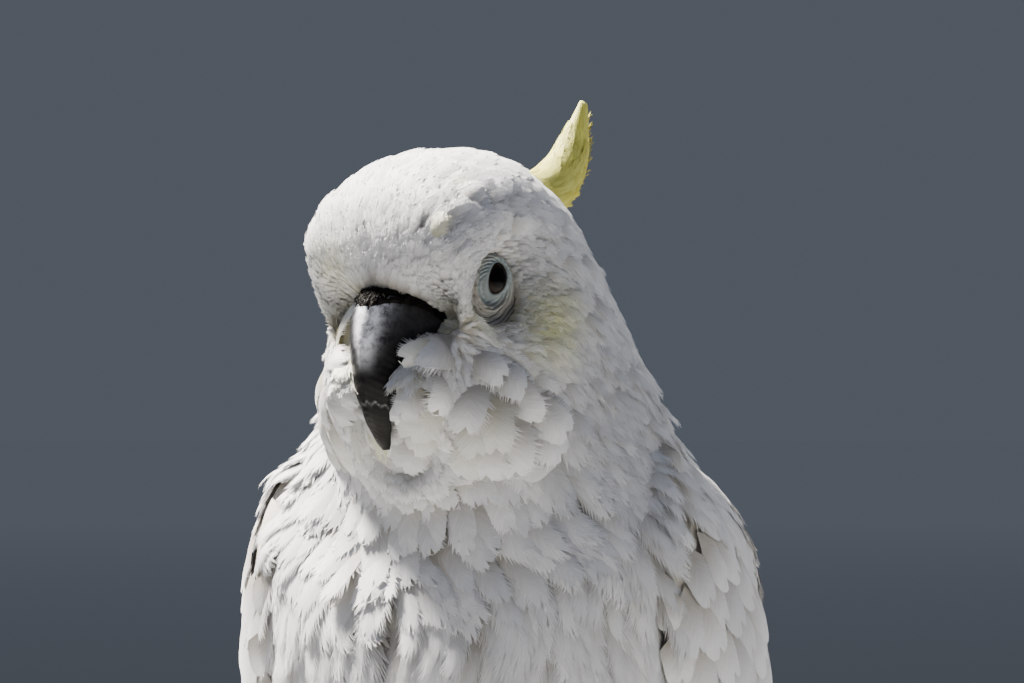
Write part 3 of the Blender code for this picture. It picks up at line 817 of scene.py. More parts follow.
def feathers(points, normals, plan, length, width, random, whole=0.9, lift=(0.3, 2.5), shoulder=.22,
             round_tip=0.62, camber=0.2, puff=0.0, bend=0.0, ragged=0.12, notch=0.0, yaw=0.06,
             roll=0.04, fluff=0.0):
    """All feathers of one plan at once, as arrays (feather, point).

    A barb starts on the shaft at x = .02 + .86 q and ends on the outline, at
    x = s + (1 - s) sin(q pi / 2) and y = cos(q pi / 2) ^ round_tip, in lengths and widths.
    Its loose tip reaches (1 + ragged noise) (1 + notch sin(turns q)), so barbs hang in bunches.
    Height = root lift to tip lift along x + puff sin(pi x) - bend x^4 - camber w (y / w)^2.
    """
    q, side, out = plan["q"], plan["side"], plan["out"]
    n, m = len(points), len(q)
    full = lambda value: np.broadcast_to(np.asarray(value, float), (n,))[:, None]
    length, width, whole, shoulder, notch = map(full, (length, width, whole, shoulder, notch))
    fringe = out >= 0
    of_tips = lambda values: np.repeat(values, plan["per"], axis=1)
    phase = 2 * math.pi * (random.uniform(1.5, 3.3, (n, 1)) * q
                           + np.where(side > 0, random.random((n, 1)), random.random((n, 1))))
    bunch = np.sin(phase)
    reach = np.ones((n, m))
    torn = 0.7 - 1.8 * random.random((n, plan["tips"])) ** 1.5
    reach[:, fringe] = of_tips(1 + full(ragged) * torn)
    edge = whole * (1 + 0.5 * notch * bunch)
    start = edge - 0.06
    t = np.where(fringe, start + (reach * (1 + notch * bunch) - start) * np.maximum(out, 0),
                 np.abs(side) * edge)
    swing = np.zeros((n, m))
    swing[:, fringe] = of_tips(random.normal(0, 0.025, (n, plan["tips"])))
    swing = swing + 0.22 * notch * np.cos(phase)
    q = np.clip(q + swing * np.maximum(out, 0), 0, 1.04)
    x_end = shoulder + (1 - shoulder) * np.sin(np.minimum(q, 1) * math.pi / 2)
    y_end = np.maximum(np.cos(np.minimum(q, 1) * math.pi / 2), 0) ** full(round_tip)
    x = (0.02 + 0.86 * q) * (1 - t) + x_end * t + 0.04 * t * (1 - t)
    y = np.sign(side) * y_end * t * width
    y = y + full(random.normal(0, 1, n) * yaw) * x * length
    weights, slopes = cubic_weights(x)
    place = (weights[..., None] * points[:, None]).sum(2)
    normal = unit((weights[..., None] * normals[:, None]).sum(2))
    along = unit((slopes[..., None] * points[:, None]).sum(2))
    across = unit(np.cross(normal, along))
    low, high = full(lift[0]), full(lift[1])
    inside = np.clip(x, 0, 1)
    height = low + (high - low) * inside ** 1.15 + full(puff) * np.sin(math.pi * inside)
    height = height - full(bend) * inside**4 - full(camber) * width * (y / width) ** 2
    height = height + full(random.normal(0, 1, n) * roll) * y
    height = height + 0.3 * notch * bunch * np.abs(y)
    loose = np.zeros((n, m))
    loose[:, fringe] = of_tips(random.normal(0, 1, (n, plan["tips"])))
    height = height + full(fluff) * loose * np.maximum(out, 0) ** 1.5
    made = place + across * y[..., None] + normal * height[..., None]
    offset = (np.arange(n) * m)[:, None, None]
    faces = [(f + offset).reshape(-1, f.shape[1]) for f in plan["faces"]]
    vane = np.stack([q * length / 10, y / 10], -1)
    return made.reshape(-1, 3), faces, {"x": x, "y": y / width, "vane": vane}


# %% Join feathers in one piece
def patch_map(root_map, inner):
    """Each feather's patch, 0.003 across, at its root's place on the unwrapped skin."""
    patch = np.stack([0.5 * inner["y"], inner["x"] - 0.5], -1) * 0.003
    return (np.clip(root_map, 0.004, 0.996)[:, None] + patch).reshape(-1, 2)


def coat_piece(name, stuff, batches, replaces=()):
    """Joins batches of (points, faces, inner, root map, values per feather) in one piece."""
    points, faces, inners, root_maps, values = zip(*batches)
    starts = np.cumsum([0, *map(len, points)])
    faces = [np.concatenate([batch[k] + start for batch, start in zip(faces, starts)]) for k in (0, 1)]
    joined = lambda parts: np.concatenate(list(parts))
    every = lambda key: joined(np.repeat(value[key], inner["x"].shape[1])
                               for value, inner in zip(values, inners))
    piece = mesh_piece(name, joined(points), faces, stuff,
                       {"OFBake": joined(map(patch_map, root_maps, inners)),
                        "vane": joined(inner["vane"].reshape(-1, 2) for inner in inners)},
                       {"along": joined(inner["x"].ravel() for inner in inners),
                        "tone": every("tone"), "yellow": every("yellow")})
    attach(piece, "root")
    if replaces:
        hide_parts(*replaces)
    count = 2 * len(faces[0]) + len(faces[1])
    print(f"{name}: {sum(map(len, root_maps))} feathers, {count} triangles")
    return piece


# %% Feathers laid on a surface
def tints(random, count, yellow=0.0):
    """A tone for each feather, and its yellow: a number, one for each, or how they are drawn."""
    tone = random.random(count)
    return {"tone": tone, "yellow": (yellow(count) if callable(yellow) else yellow) + 0 * tone}


def laid(surface, roots, length, width, heading, limits, plan, random, root_map, yellow=0.0,
         outward=None, **shape):
    """A batch of feathers, their shafts marched from their roots over a surface.

    The normals are turned round where they point away from outward.
    """
    points, normals = march(surface, *roots, length, heading, limits)
    if outward is not None and (normals @ outward).mean() < 0:
        normals = -normals
    arrays = feathers(points, normals, plan, length, width, random, **shape)
    return (*arrays, root_map, tints(random, len(length), yellow))


def straight_on(point, along, normal):
    """The heading of feathers that simply follow the surface's first number."""
    return along


def on_side(batch, flip):
    """A batch of the left side, or the same mirrored, with its faces turned round."""
    made, faces, *rest = batch
    return (made * flip, [f[:, ::-1] for f in faces], *rest) if flip[0] < 0 else batch


# %% [markdown]
# ## Feather colours
# White feathers are not pigmented: they are clear keratin full of air, so they are bright, with a
# soft sheen and no gloss. Towards its root each is painted darker and warmer: partly the grey
# of its down, and partly painted shade for the gaps where it lies under other feathers. The
# barbs show as fine slanted lines.
# The same material takes a wash of pale yellow from an attribute, as on the ear and the crest.


# %% Feather material
def feather_material(name, tip, root, shade, yellow_tip, yellow_root, through=0.11):
    """Colour from root to tip, a tone for each feather, a wash, barb streaks, and light through.

    The darker, warmer root is painted shade for the gaps between feathers, and partly the grey
    of their down. The streaks are noise in the vane's map, 0.35 mm across the barbs and ten
    times that along.
    """
    made, tree, shader = new_material(name, Roughness=0.6, Sheen_Weight=0.15, Sheen_Roughness=0.5)
    value = {key: add_node(tree, "ShaderNodeAttribute", {"attribute_name": key}).outputs["Fac"]
             for key in ("along", "tone", "yellow")}
    # Painted shade: each feather turns darker and warmer towards its root, where it lies in the gaps
    # under others; partly the grey of its down.
    white = add_node(tree, "ShaderNodeValToRGB", {"stops": [(0.28, root), (0.78, tip)]},
                     i0=value["along"])
    wash = add_node(tree, "ShaderNodeValToRGB", {"stops": [(0.0, yellow_root), (0.9, yellow_tip)]},
                    i0=value["along"])
    base = add_node(tree, "ShaderNodeMix", {"data_type": "RGBA"}, i0=value["yellow"], i6=white, i7=wash)
    soft = add_node(tree, "ShaderNodeValToRGB", {"stops": [(0.0, shade), (1.0, "#ffffff")]},
                    i0=value["tone"])
    toned = add_node(tree, "ShaderNodeMix", TIMES, i0=1.0, i6=base, i7=soft)
    stretched = add_node(tree, "ShaderNodeMapping", {"Scale": (28.0, 2.6, 1.0)},
                         i0=add_node(tree, "ShaderNodeUVMap", {"uv_map": "vane"}))
    barbs = add_node(tree, "ShaderNodeTexNoise", {"Scale": 1.0, "Detail": 2.0, "Roughness": 0.6},
                     i0=stretched)
    dark = add_node(tree, "ShaderNodeValToRGB", {"stops": [(0.3, "#cfcfcf"), (0.62, "#ffffff")]},
                    i0=barbs)
    lines = add_node(tree, "ShaderNodeMix", TIMES, i0=0.5, i6=toned, i7=dark)
    bump = add_node(tree, "ShaderNodeBump", {"Strength": 0.5, "Distance": 0.0003}, Height=barbs)
    wire(tree, shader, Base_Color=lines, Normal=bump)
    if through:
        glow = add_node(tree, "ShaderNodeBsdfTranslucent", Color=lines, Normal=bump)
        both = add_node(tree, "ShaderNodeMixShader", i0=through, i1=shader, i2=glow)
        wire(tree, tree.nodes["Material Output"], Surface=both)
    return made


# Its root colour #b3aea6 is painted shade for the gaps between feathers, and partly the down's grey.
white_stuff = feather_material("white contour feathers", "#ebecee", "#b3aea6", "#e5e6e9",
                               "#eeeeb2", "#e3de8c")

# %% [markdown]
# ## The coat of the head
# Feathers are smallest round the bill and the eyes, a few millimetres long, and grow towards
# the nape. On the crown they lie flat like satin. On the cheeks they spread like a fan and
# cover the sides of the lower bill.

# %% What lies inside a surface
FAN = [head_place(np.array([19, 27, -20]) * flip) for _, flip in SIDES]


def bill_surface(at, angle):
    """The horn of the upper bill, from its culmen round the bird's right side."""
    return head_piece(UPPER_BILL, at, -angle, -0.25)


def grid_of(surface, low, high, count=30, sides=24):
    """Points and normals of a surface on a grid, for tests of what lies inside it."""
    point, _, _, normal = frames_of(surface, *around_grid(np.linspace(low, high, count), sides))
    return point.reshape(-1, 3), normal.reshape(-1, 3)


def depth_in(points, grid, reach=14.0):
    """How far points lie inside a surface (above 0), by the nearest grid point's plane.

    Only points within reach of the grid are tested. All others are far outside it.
    """
    flat = points.reshape(-1, 3)
    found = np.full(len(flat), -reach)
    low, high = grid[0].min(0) - reach, grid[0].max(0) + reach
    in_box = np.flatnonzero(((flat > low) & (flat < high)).all(1))
    for part in np.array_split(in_box, len(in_box) // 3000 + 1):
        away = flat[part][:, None] - grid[0][None]
        nearest = (away**2).sum(-1).argmin(1)
        offset = flat[part] - grid[0][nearest]
        depth = -(offset * grid[1][nearest]).sum(-1)
        found[part] = np.where(np.linalg.norm(offset, axis=1) < reach, depth, -reach)
    return found.reshape(points.shape[:-1])


# %% Headings over the body
BILL_GRID = grid_of(bill_surface, 0.05, 7.9)
WING_GRID = grid_of(wing_surface, 0.9, 9.9, 44)  # without its bend, which the breast covers
print("grids to test against:", len(BILL_GRID[0]), "and", len(WING_GRID[0]), "points")


def body_heading(point, along, normal):
    """Backwards along the body, a fan on each cheek, round each eye's ring, and in loose locks."""
    way = along
    for centre in FAN:
        away = point - centre
        away = away - normal * (away * normal).sum(-1, keepdims=True)
        far = np.linalg.norm(away, axis=-1)
        share = np.exp(-(far / 24) ** 4) * smoothstep(12, -2, point[..., 2] - centre[2])
        way = way * (1 - share[..., None]) + unit(away) * share[..., None]
    distance, _, flat = eye_distance(point)
    share = 1.1 * (1 - smoothstep(RING_EDGE, RING_EDGE + 7, distance))
    way = way + flat * share[..., None]
    front = smoothstep(0.0, 0.5, -normal[..., 1]) * smoothstep(238, 212, point[..., 2])
    lean = (0.05 + 0.30 * front) * clumps(point, 24.0, 6)
    way = way + np.cross(normal, way) * lean[..., None]
    way = way - normal * (way * normal).sum(-1, keepdims=True)
    return unit(way)


def clumps(points, size, seed):
    """Soft lumps from -1 to 1: the sum of five sines of the place, each about size mm long."""
    waves = np.random.default_rng(seed)
    total = 0
    for _ in range(5):
        along = unit(waves.normal(0, 1, 3)) * (2 * math.pi / size * waves.uniform(0.7, 1.4))
        total = total + np.sin(points @ along + waves.uniform(0, 2 * math.pi))
    return np.clip(total / 2.4, -1, 1)


def can_grow(point, normal):
    """1 where feathers can grow: off the eye's ring, off the bill, and not under a wing."""
    distance, _, _ = eye_distance(point)
    grows = (distance > RING_EDGE - 0.2) & (depth_in(point, BILL_GRID) < 0.5)
    return grows & (depth_in(point + normal * 3, WING_GRID) < 1.5)


# %% Feather sizes over the body
# (rib, size) pairs on the back, on the side and on the front
LOOKS = {
    "length": (((0, 6), (2, 10), (3.5, 15), (5, 19), (7, 22), (10, 26), (13, 34), (22, 40)),
               ((0, 4), (2, 6), (4, 8.5), (6, 11), (8, 14), (10, 21), (13, 30), (22, 36)),
               ((0, 7), (1.5, 9), (3, 13), (5, 17), (7, 21), (9, 27), (11, 33), (14, 38), (22, 36))),
    "half_width": (((0, .22), (3, .26), (5, .34), (8, .32), (22, .30)),
                   ((0, .22), (4, .20), (7, .20), (9, .22), (12, .24), (22, .28)),
                   ((0, .28), (2, .34), (5, .38), (8, .28), (11, .18), (15, .18), (22, .22))),
    "whole": (((0, .55), (3, .76), (5, .95), (22, .95)),
              ((0, .50), (4, .42), (8, .50), (10, .66), (13, .80), (22, .90)),
              ((0, .60), (3, .84), (7, .80), (9.5, .60), (11, .42), (16, .42), (22, .55))),
    "lift": (((0, .4), (3, .25), (5, .15), (22, .3)), ((0, .3), (8, .25), (22, .4)),
             ((0, .6), (4, 1.2), (7, 1.1), (9, 1.0), (11, .6), (16, .6), (22, .6))),
    "clump": (((0, .3), (2, 1.0), (4, 0.9), (6, .6), (22, .4)),
              ((0, .1), (8, .3), (12, .8), (22, .5)),
              ((0, .2), (6, .5), (9, 1.8), (12, 2.7), (16, 2.2), (22, 1.0))),
    "fluff": (((0, .25), (4, .05), (22, .04)), ((0, .2), (8, .22), (12, .15), (22, .05)),
              ((0, .2), (5, .2), (9, .2), (12, .2), (22, .25))),
    "notch": (((0, .12), (4, .03), (22, .02)), ((0, .14), (8, .14), (12, .08), (22, .05)),
              ((0, .1), (6, .05), (10, .06), (13, .06), (22, .12))),
    "camber": (((0, .15), (5, .22), (22, .22)), ((0, .12), (9, .18), (22, .22)),
               ((0, .2), (5, .28), (10, .30), (22, .30))),
    "crowding": (((0, .25), (4, .26), (6, .30), (22, .34)),
                 ((0, .25), (8, .24), (12, .28), (22, .32)),
                 ((0, .25), (4, .30), (8, .26), (10, .21), (16, .21), (22, .28))),
}


def by_rib(at, table):
    """A size read along the body's ribs from (rib, size) pairs."""
    places, sizes = np.array(table, float).T
    return np.interp(at, places, sizes)


def look(key, at, angle):
    """A size mixed from its three tables by the share round the body, (1 - cos angle) / 2."""
    share = (1 - np.cos(angle)) / 2
    above, aside, below = (by_rib(at, table) for table in LOOKS[key])
    past_back, to_front = smoothstep(0.08, 0.34, share), smoothstep(0.50, 0.80, share)
    return above * (1 - past_back) + aside * (past_back - to_front) + below * to_front


# %% Length, crowding and the yellow wash
def feather_length(at, angle, point):
    """Millimetres, shorter next to an eye's ring."""
    distance, _, _ = eye_distance(point)
    return np.minimum(look("length", at, angle), 3.0 + np.maximum(distance - RING_EDGE, 0))


def body_density(low, high):
    """Feathers per square mm: 1 / (share of a length x share of a width)."""
    def density(point, at, angle, normal):
        length = feather_length(at, angle, point)
        size = length**2 * 2 * look("half_width", at, angle) * look("crowding", at, angle) ** 2
        return (at >= low) * (at < high) * can_grow(point, normal) / (size * 1.15)
    return density


def ear_and_lores(point):
    """The pale yellow wash: over the ear, and faintly below the eye and on the forehead."""
    local = head_local(point)
    ear = np.exp(-(((np.abs(local[..., 0]) - 34) / 13) ** 2 + ((local[..., 1] - 1) / 8.5) ** 2
                   + ((local[..., 2] + 18 + 0.5 * local[..., 1]) / 9) ** 2))
    spot = np.exp(-((local[..., 1] - 22) ** 2 + (local[..., 2] + 16) ** 2) / 30)
    brow = np.exp(-((local[..., 0] + 14) ** 2 + (local[..., 2] + 4) ** 2) / 40) * (local[..., 1] > 18)
    return 1.05 * ear + 0.35 * spot + 0.45 * brow


for title, place in (("brow", 1.0), ("nape", 6.0), ("rump", 18.0)):
    print(title, "feathers:", look("length", place, np.zeros(1)).round(1), "mm long")


# %% Feathers that meet a folded wing
def over_wings(points, normals):
    """Shaft points just inside a folded wing are moved out; deeper feathers are not free."""
    mirrored = points * np.stack([np.sign(points[..., 0])] + [np.ones(points.shape[:-1])] * 2, -1)
    push = np.clip(depth_in(mirrored, WING_GRID) + 0.8, 0, 9)
    moved = points + normals * (push * np.array([0.0, 0.7, 1.0, 1.0]))[..., None]
    return moved, push.max(1) < 5.0


def picked(batch, keep):
    """The feathers of a batch that are kept, with their faces numbered anew."""
    made, faces, inner, root_map, values = batch
    n, m = inner["x"].shape
    new = np.cumsum(keep) - 1
    faces = [f[keep[f[:, 0] // m]] for f in faces]
    faces = [new[f // m] * m + f % m for f in faces]
    inner = {"x": inner["x"][keep], "y": inner["y"][keep],
             "vane": inner["vane"].reshape(n, m, 2)[keep]}
    return (made.reshape(n, m, 3)[keep].reshape(-1, 3), faces, inner, root_map[keep],
            {key: value[keep] for key, value in values.items()})


# %% The coat of head, neck and trunk
STRAYS = 0.08  # share of the neck's feathers that stand up


def body_coat(name, low, high, plan, seed):
    """The coat between two of the body's ribs, in one piece."""
    random = np.random.default_rng(seed)
    window = ((max(low, 0.3), min(high, 21.7)), (0, 2 * math.pi))
    at, angle = spread(body_surface, window, body_density(low, high), seed)
    point, _, _, normal = frames_of(body_surface, at, angle)
    keep = can_grow(point, normal)
    at, angle, point = at[keep], angle[keep], point[keep]
    sizes = {key: look(key, at, angle) for key in LOOKS}
    length = feather_length(at, angle, point) * random.uniform(0.88, 1.14, len(at))
    width = length * sizes["half_width"] * random.uniform(0.9, 1.1, len(at))
    points, normals = march(body_surface, at, angle, length, body_heading, (0.15, 21.85))
    points, free = over_wings(points, normals)
    stray = (random.random(len(at)) > 1 - STRAYS) * random.uniform(0.6, 3.0, len(at))
    stray = stray * (at > 5) * (at < 10.5) * (np.cos(angle) < 0.7)
    lumps = clumps(point, 10.0, 9) * (at < 7) + clumps(point, 18.0, 5) * (at >= 7)
    rise = sizes["lift"] + sizes["clump"] * (0.5 + 0.5 * lumps)
    made, faces, inner = feathers(
        points, normals, plan, length, width, random, whole=sizes["whole"],
        lift=(0.25 - coat_depth(at), rise + stray + random.uniform(0, .25, len(at))),
        camber=sizes["camber"], puff=0.05 * width, bend=0.5 * sizes["lift"], ragged=0.16,
        fluff=sizes["fluff"], notch=sizes["notch"], shoulder=0.25)
    yellow = ear_and_lores(points.mean(1)) * random.uniform(0.45, 1.1, len(at))
    root_map = np.stack([angle / (2 * math.pi), (at - low) / (high - low)], -1)
    values = {"tone": random.random(len(at)), "yellow": np.clip(yellow, 0, 1)}
    return coat_piece(name, white_stuff, [picked((made, faces, inner, root_map, values), free)])


for region in (("coat_face", 0.3, 4.2, feather_plan(3, 10), 1),
               ("coat_head", 4.2, 8.8, feather_plan(4, 18), 2),
               ("coat_neck", 8.8, 12.0, feather_plan(6, 28, 2), 3),
               ("coat_breast", 12.0, 15.0, feather_plan(6, 28, 2), 5),
               ("coat_trunk", 15.0, 21.7, feather_plan(5, 20), 4)):
    body_coat(*region)

# %% [markdown]
# ## The cheeks
# A cockatoo can fan its cheek feathers forwards until they hide half its bill. They are broad
# round petals, one row over the next, that spread from the corner of the mouth. They stand off
# the face, so they are laid on a dome of their own, which a modeller would call a guide.

# %% Cheek petals
CHEEK_MIDDLE = np.array([20.0, 27.0, -36.0])  # left, forward, up from the head's centre
CHEEK_OUT = unit(np.array([0.60, 0.76, -0.25]))
CHEEK_DOWN = unit(np.array([0, 0, -1.0]) + CHEEK_OUT * CHEEK_OUT[2])
CHEEK_BACK = np.cross(CHEEK_DOWN, CHEEK_OUT)
CHEEK_FOCUS = np.array([3.0, -12.5])  # back and down from the middle: the mouth's corner


def cheek_dome(back, down):
    """Middle + back and down + outwards by 5.4 + .17 d - .0145 b^2 + .015 b d - .018 d^2.

    A bump 3.4 mm high in front of the middle lifts it clear of the lip.
    """
    out = 5.4 + 0.17 * down - 0.0145 * back**2 + 0.015 * back * down - 0.018 * down**2
    out = out + 3.4 * np.exp(-((back + 9) / 7) ** 2 - (down / 9) ** 2)
    local = (CHEEK_MIDDLE + CHEEK_BACK * back[..., None] + CHEEK_DOWN * down[..., None]
             + CHEEK_OUT * out[..., None])
    return head_place(local)


# %% Rows of petals
RING_RADII = (1.0, 7.5, 14.5, 22.0, 29.5)  # mm from the mouth's corner to each row's roots
# degrees round the corner, and how far a petal may reach there before it would hide the bill
ROOM = np.array([(105, 60), (120, 45), (135, 33), (150, 25), (165, 20.5), (180, 18.5)])
ROOT_GAP, LEAST_ROOM, FAR_SIDE_LENGTH = 7.0, 7.5, 1.25


def petals_of(random):
    """Roots on the dome in rings round the mouth's corner, and each ring's number."""
    rings = []
    for ring, radius in enumerate(RING_RADII):
        first, last = math.radians(167), math.radians(34 + 4 * ring)
        count = int((first - last) * (radius + 7.5) / ROOT_GAP)
        turn = np.linspace(first, last, count) + random.normal(0, 0.06, count)
        far = radius + random.normal(0, 1.0, count)
        rings.append(np.stack([CHEEK_FOCUS[0] + far * np.cos(turn),
                               CHEEK_FOCUS[1] + far * np.sin(turn), turn, turn * 0 + ring], -1))
    return np.concatenate(rings)


def from_focus(point, along, normal):
    """Away from the mouth's corner, over the dome."""
    way = point - cheek_dome(*CHEEK_FOCUS[:, None])
    return unit(way - normal * (way * normal).sum(-1, keepdims=True))


def head_way(direction):
    """A direction of the unturned head in the drawing."""
    return head_place(direction) - head_place(np.zeros(3))


# %% Lay both cheeks
batches = []
for (_, flip), seed in zip(SIDES, (71, 72)):
    random, mirrored = np.random.default_rng(seed), flip[0] < 0
    back_off, down, turn, ring = petals_of(random).T
    length = (15.5 + 0.9 * ring) * random.uniform(0.9, 1.12, len(ring))
    length = length * (FAR_SIDE_LENGTH if mirrored else 1)
    far = np.hypot(back_off - CHEEK_FOCUS[0], down - CHEEK_FOCUS[1])
    room = np.interp(np.degrees(turn), *ROOM.T) - far
    back_off, down, turn, ring, length, room = (
        values[room > LEAST_ROOM] for values in (back_off, down, turn, ring, length, room))
    length = np.minimum(length, room * random.uniform(0.92, 1.04, len(ring)))
    stand = smoothstep(0.45, 1.3, turn) * (1 - 0.45 * smoothstep(2.3, 3.0, turn))
    stand = stand * (0.15 if mirrored else 1.0)
    width, uneven, fluff, yaw, roll = (
        (0.24, 0.2, 0.1, 0.04, 0.04) if mirrored else (0.46, 0.7, 0.22, 0.13, 0.16))
    tip = 0.9 + (3.9 - 0.3 * ring) * stand + random.normal(0, uneven, len(ring))
    made, faces, *rest = laid(
        cheek_dome, (back_off, down), length, length * width, from_focus, (-40, 60),
        feather_plan(8, 40, 2), random,
        np.stack([(back_off + 40) / 200 + 0.5 * mirrored, (down + 40) / 90], -1),
        lambda count: 0.12 * (random.random(count) > 0.7), head_way(CHEEK_OUT), whole=0.80,
        lift=(-3.0 - 0.6 * stand, tip), camber=0.44, puff=1.0, bend=1.9, ragged=0.34, notch=0.015,
        fluff=fluff, shoulder=0.28, round_tip=0.46, yaw=yaw, roll=roll)
    if mirrored:
        made, faces = head_place(head_local(made) * flip), [f[:, ::-1] for f in faces]
    batches.append((made, faces, *rest))
coat_piece("cheek_petals", white_stuff, batches)

# %% Hanging plumes beside the bill, and ruffled tufts on the brow
PLUME_TOP = np.array([-16.5, 32.0, -14.0])  # left, forward, up from the head's centre
PLUME_DOWN, PLUME_ACROSS = unit(np.array([0.26, -0.04, -1.0])), unit(np.array([1.0, 0.35, 0.25]))
PLUME_OUT = -np.cross(PLUME_DOWN, PLUME_ACROSS)


def plume_curtain(down, across):
    """A curtain that hangs beside the bill: out by 3 sin(pi d / 48) - 0.03 across^2."""
    out = 3.0 * np.sin(math.pi * down / 48) - 0.03 * across**2
    return head_place(PLUME_TOP + PLUME_DOWN * down[..., None] + PLUME_ACROSS * across[..., None]
                      + PLUME_OUT * out[..., None])


def on_both_sides(angle):
    """Every second angle on the other side."""
    return angle * np.where(np.arange(len(angle)) % 2, 1, -1)


# %% Lay the plumes and the tufts
random = np.random.default_rng(81)
count = 13
down, across = random.uniform(0, 13, count), np.linspace(-8, 8, count) + random.normal(0, 0.7, count)
length = random.uniform(26, 35, count)
plumes = laid(plume_curtain, (down, across), length, length * 0.13, straight_on, (-30, 90),
              feather_plan(7, 26, 2), random, np.stack([down / 60, across / 60 + 0.5], -1),
              lambda count: random.uniform(0.1, 0.6, count), head_way(PLUME_OUT), whole=0.8,
              lift=(-2.0, random.uniform(0, 2.5, count)), camber=0.3, puff=0.3, ragged=0.25,
              notch=0.1, fluff=0.2, yaw=0.08)
count = 22
at, angle = random.normal(3.7, 0.5, count), on_both_sides(random.normal(0.55, 0.16, count))
length = random.uniform(13, 19, count)
brow = laid(body_surface, (at, angle), length, length * 0.30, body_heading, (0.2, 20),
            feather_plan(6, 26), random, np.stack([(angle + 1.5) / 3, at / 9], -1),
            lambda count: 0.4 * random.random(count) ** 2, whole=0.8,
            lift=(-2.0, random.uniform(0.3, 1.2, count) + 1.3 * (angle > 0.55)), camber=0.35,
            puff=0.9, bend=1.2, ragged=0.25, notch=0.06, fluff=0.2, yaw=0.2, roll=0.08)

# %% Short straight feathers of the lores, down round the bill's base
count = 130
at, angle = random.uniform(0.2, 1.0, count), on_both_sides(random.uniform(0.7, 1.7, count))
length = random.uniform(6, 9, count) + 2.5 * smoothstep(0.9, 1.5, np.abs(angle))
root, _, _, normal = frames_of(body_surface, at, angle)
way = head_way(np.array([0, 0.45, -1.0]))
way = unit(way - normal * (normal @ way)[..., None])
points = root[:, None] + way[:, None] * (length[:, None] * np.arange(4) / 3)[..., None]
normals = np.repeat(normal[:, None], 4, 1)
points = points + normals * np.clip(depth_in(points, BILL_GRID) + 1.6, 0, 6)[..., None]
clear = can_grow(root, normal)
lores = feathers(points[clear], normals[clear], feather_plan(4, 12), length[clear],
                 length[clear] * 0.24, random, whole=0.6, lift=(-0.8, 0.6), camber=0.2, puff=0.4,
                 bend=0.3, ragged=0.25, notch=0.1, fluff=0.25, yaw=0.2)
lores = (*lores, np.stack([(angle + 2) / 4, at / 9], -1)[clear],
         tints(random, clear.sum(), lambda count: 0.3 * random.random(count) ** 2))
coat_piece("face_tufts", white_stuff, [plumes, brow, lores])

# %% [markdown]
# ## Flight, tail and crest feathers
# These are long and smooth, and each lies half over the next. They are drawn straight on the
# surface of the wing, the tail or the crest: a line along the shaft in the surface's own
# numbers, and a vane either side, with a real thickness, so that they show from below too.


# %% A stiff feather on a surface
def quill(surface, start, end, wide, lifts, taper, count=34, columns=9, thick=0.32):
    """Rings of one stiff feather: shaft from start to end in (along, angle), vanes each side.

    Half width = wide x smoothstep at the root x (1 - t^taper)^0.5 at the tip. Its height over
    the surface goes from lifts[0] to lifts[1]. The shaft stands 0.5 mm proud of the vane.
    """
    t = (1 - np.cos(np.linspace(0, 1, count) * math.pi)) / 2
    t = 0.5 * t + 0.5 * np.linspace(0, 1, count)
    at = start[0] + (end[0] - start[0]) * t
    angle = start[1] + (end[1] - start[1]) * smoothstep(0, 1, t)
    _, _, around, _ = frames_of(surface, at, angle)
    profile = smoothstep(-0.12, 0.2, t) * (1 - t**taper) ** 0.5 + 0.01
    v = np.linspace(-1, 1, columns)
    reach = np.where(v < 0, wide[0], wide[1])[None] * v[None] * profile[:, None]
    turned_by = reach / np.linalg.norm(around, axis=-1)[:, None]
    point, _, _, normal = frames_of(surface, at[:, None] + 0 * reach, angle[:, None] + turned_by)
    lift = lifts[0] + (lifts[1] - lifts[0]) * t[:, None]
    ridge = 0.5 * np.exp(-(reach / 0.9) ** 2) * (1 - t[:, None])
    top = point + normal * (lift + ridge - 0.25 * np.abs(v) ** 2)[..., None]
    under = point + normal * (lift - thick - 0.25 * np.abs(v) ** 2)[..., None]
    rings = np.concatenate([top, under[:, ::-1]], 1)
    return rings, np.repeat(t[:, None], 2 * columns, 1), np.concatenate([reach, reach[:, ::-1]], 1)


# %% Join stiff feathers in one piece
BARB_PATTERN_LENGTH = 16.0  # the vane map's run from a quill's root to its tip
LEAST_HEIGHT = 0.15  # mm over the floor


def quill_piece(name, stuff, surface, specs, flip=SIDES[0][1]):
    """All the stiff feathers of one wing or of the tail, each a closed shape, in one piece."""
    random = np.random.default_rng(len(name))
    made = []
    for k, (first, last, wide, lifts, taper) in enumerate(specs):
        rings, x, across = quill(surface, first, last, wide, lifts, taper)
        rings = np.maximum(rings, np.array([-np.inf, -np.inf, LEAST_HEIGHT]))
        points, faces = closed_tube(rings * flip)
        x, across = np.append(x, [0, 1]), np.append(across, [0, 0])
        bake = np.stack([(k + 0.5 + across * 0.4 / 14) / len(specs), 0.02 + 0.96 * x], -1)
        vane = np.stack([x * BARB_PATTERN_LENGTH + np.abs(across) * 0.08, across / 10], -1)
        made.append((points, *faces, bake, vane, x, np.full(len(points), random.random())))
    points, quads, fans, bake, vane, along, tone = zip(*made)
    starts = np.cumsum([0, *map(len, points)])
    faces = [np.concatenate([part + start for part, start in zip(kind, starts)])
             for kind in (quads, fans)]
    along = np.concatenate(along)
    piece = mesh_piece(name, np.concatenate(points), faces, stuff,
                       {"OFBake": np.concatenate(bake), "vane": np.concatenate(vane)},
                       {"along": 0.45 + 0.5 * along, "tone": np.concatenate(tone),
                        "yellow": along * 0})
    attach(piece, "root")
    print(f"{name}: {len(specs)} feathers, {len(piece.data.polygons)} faces")


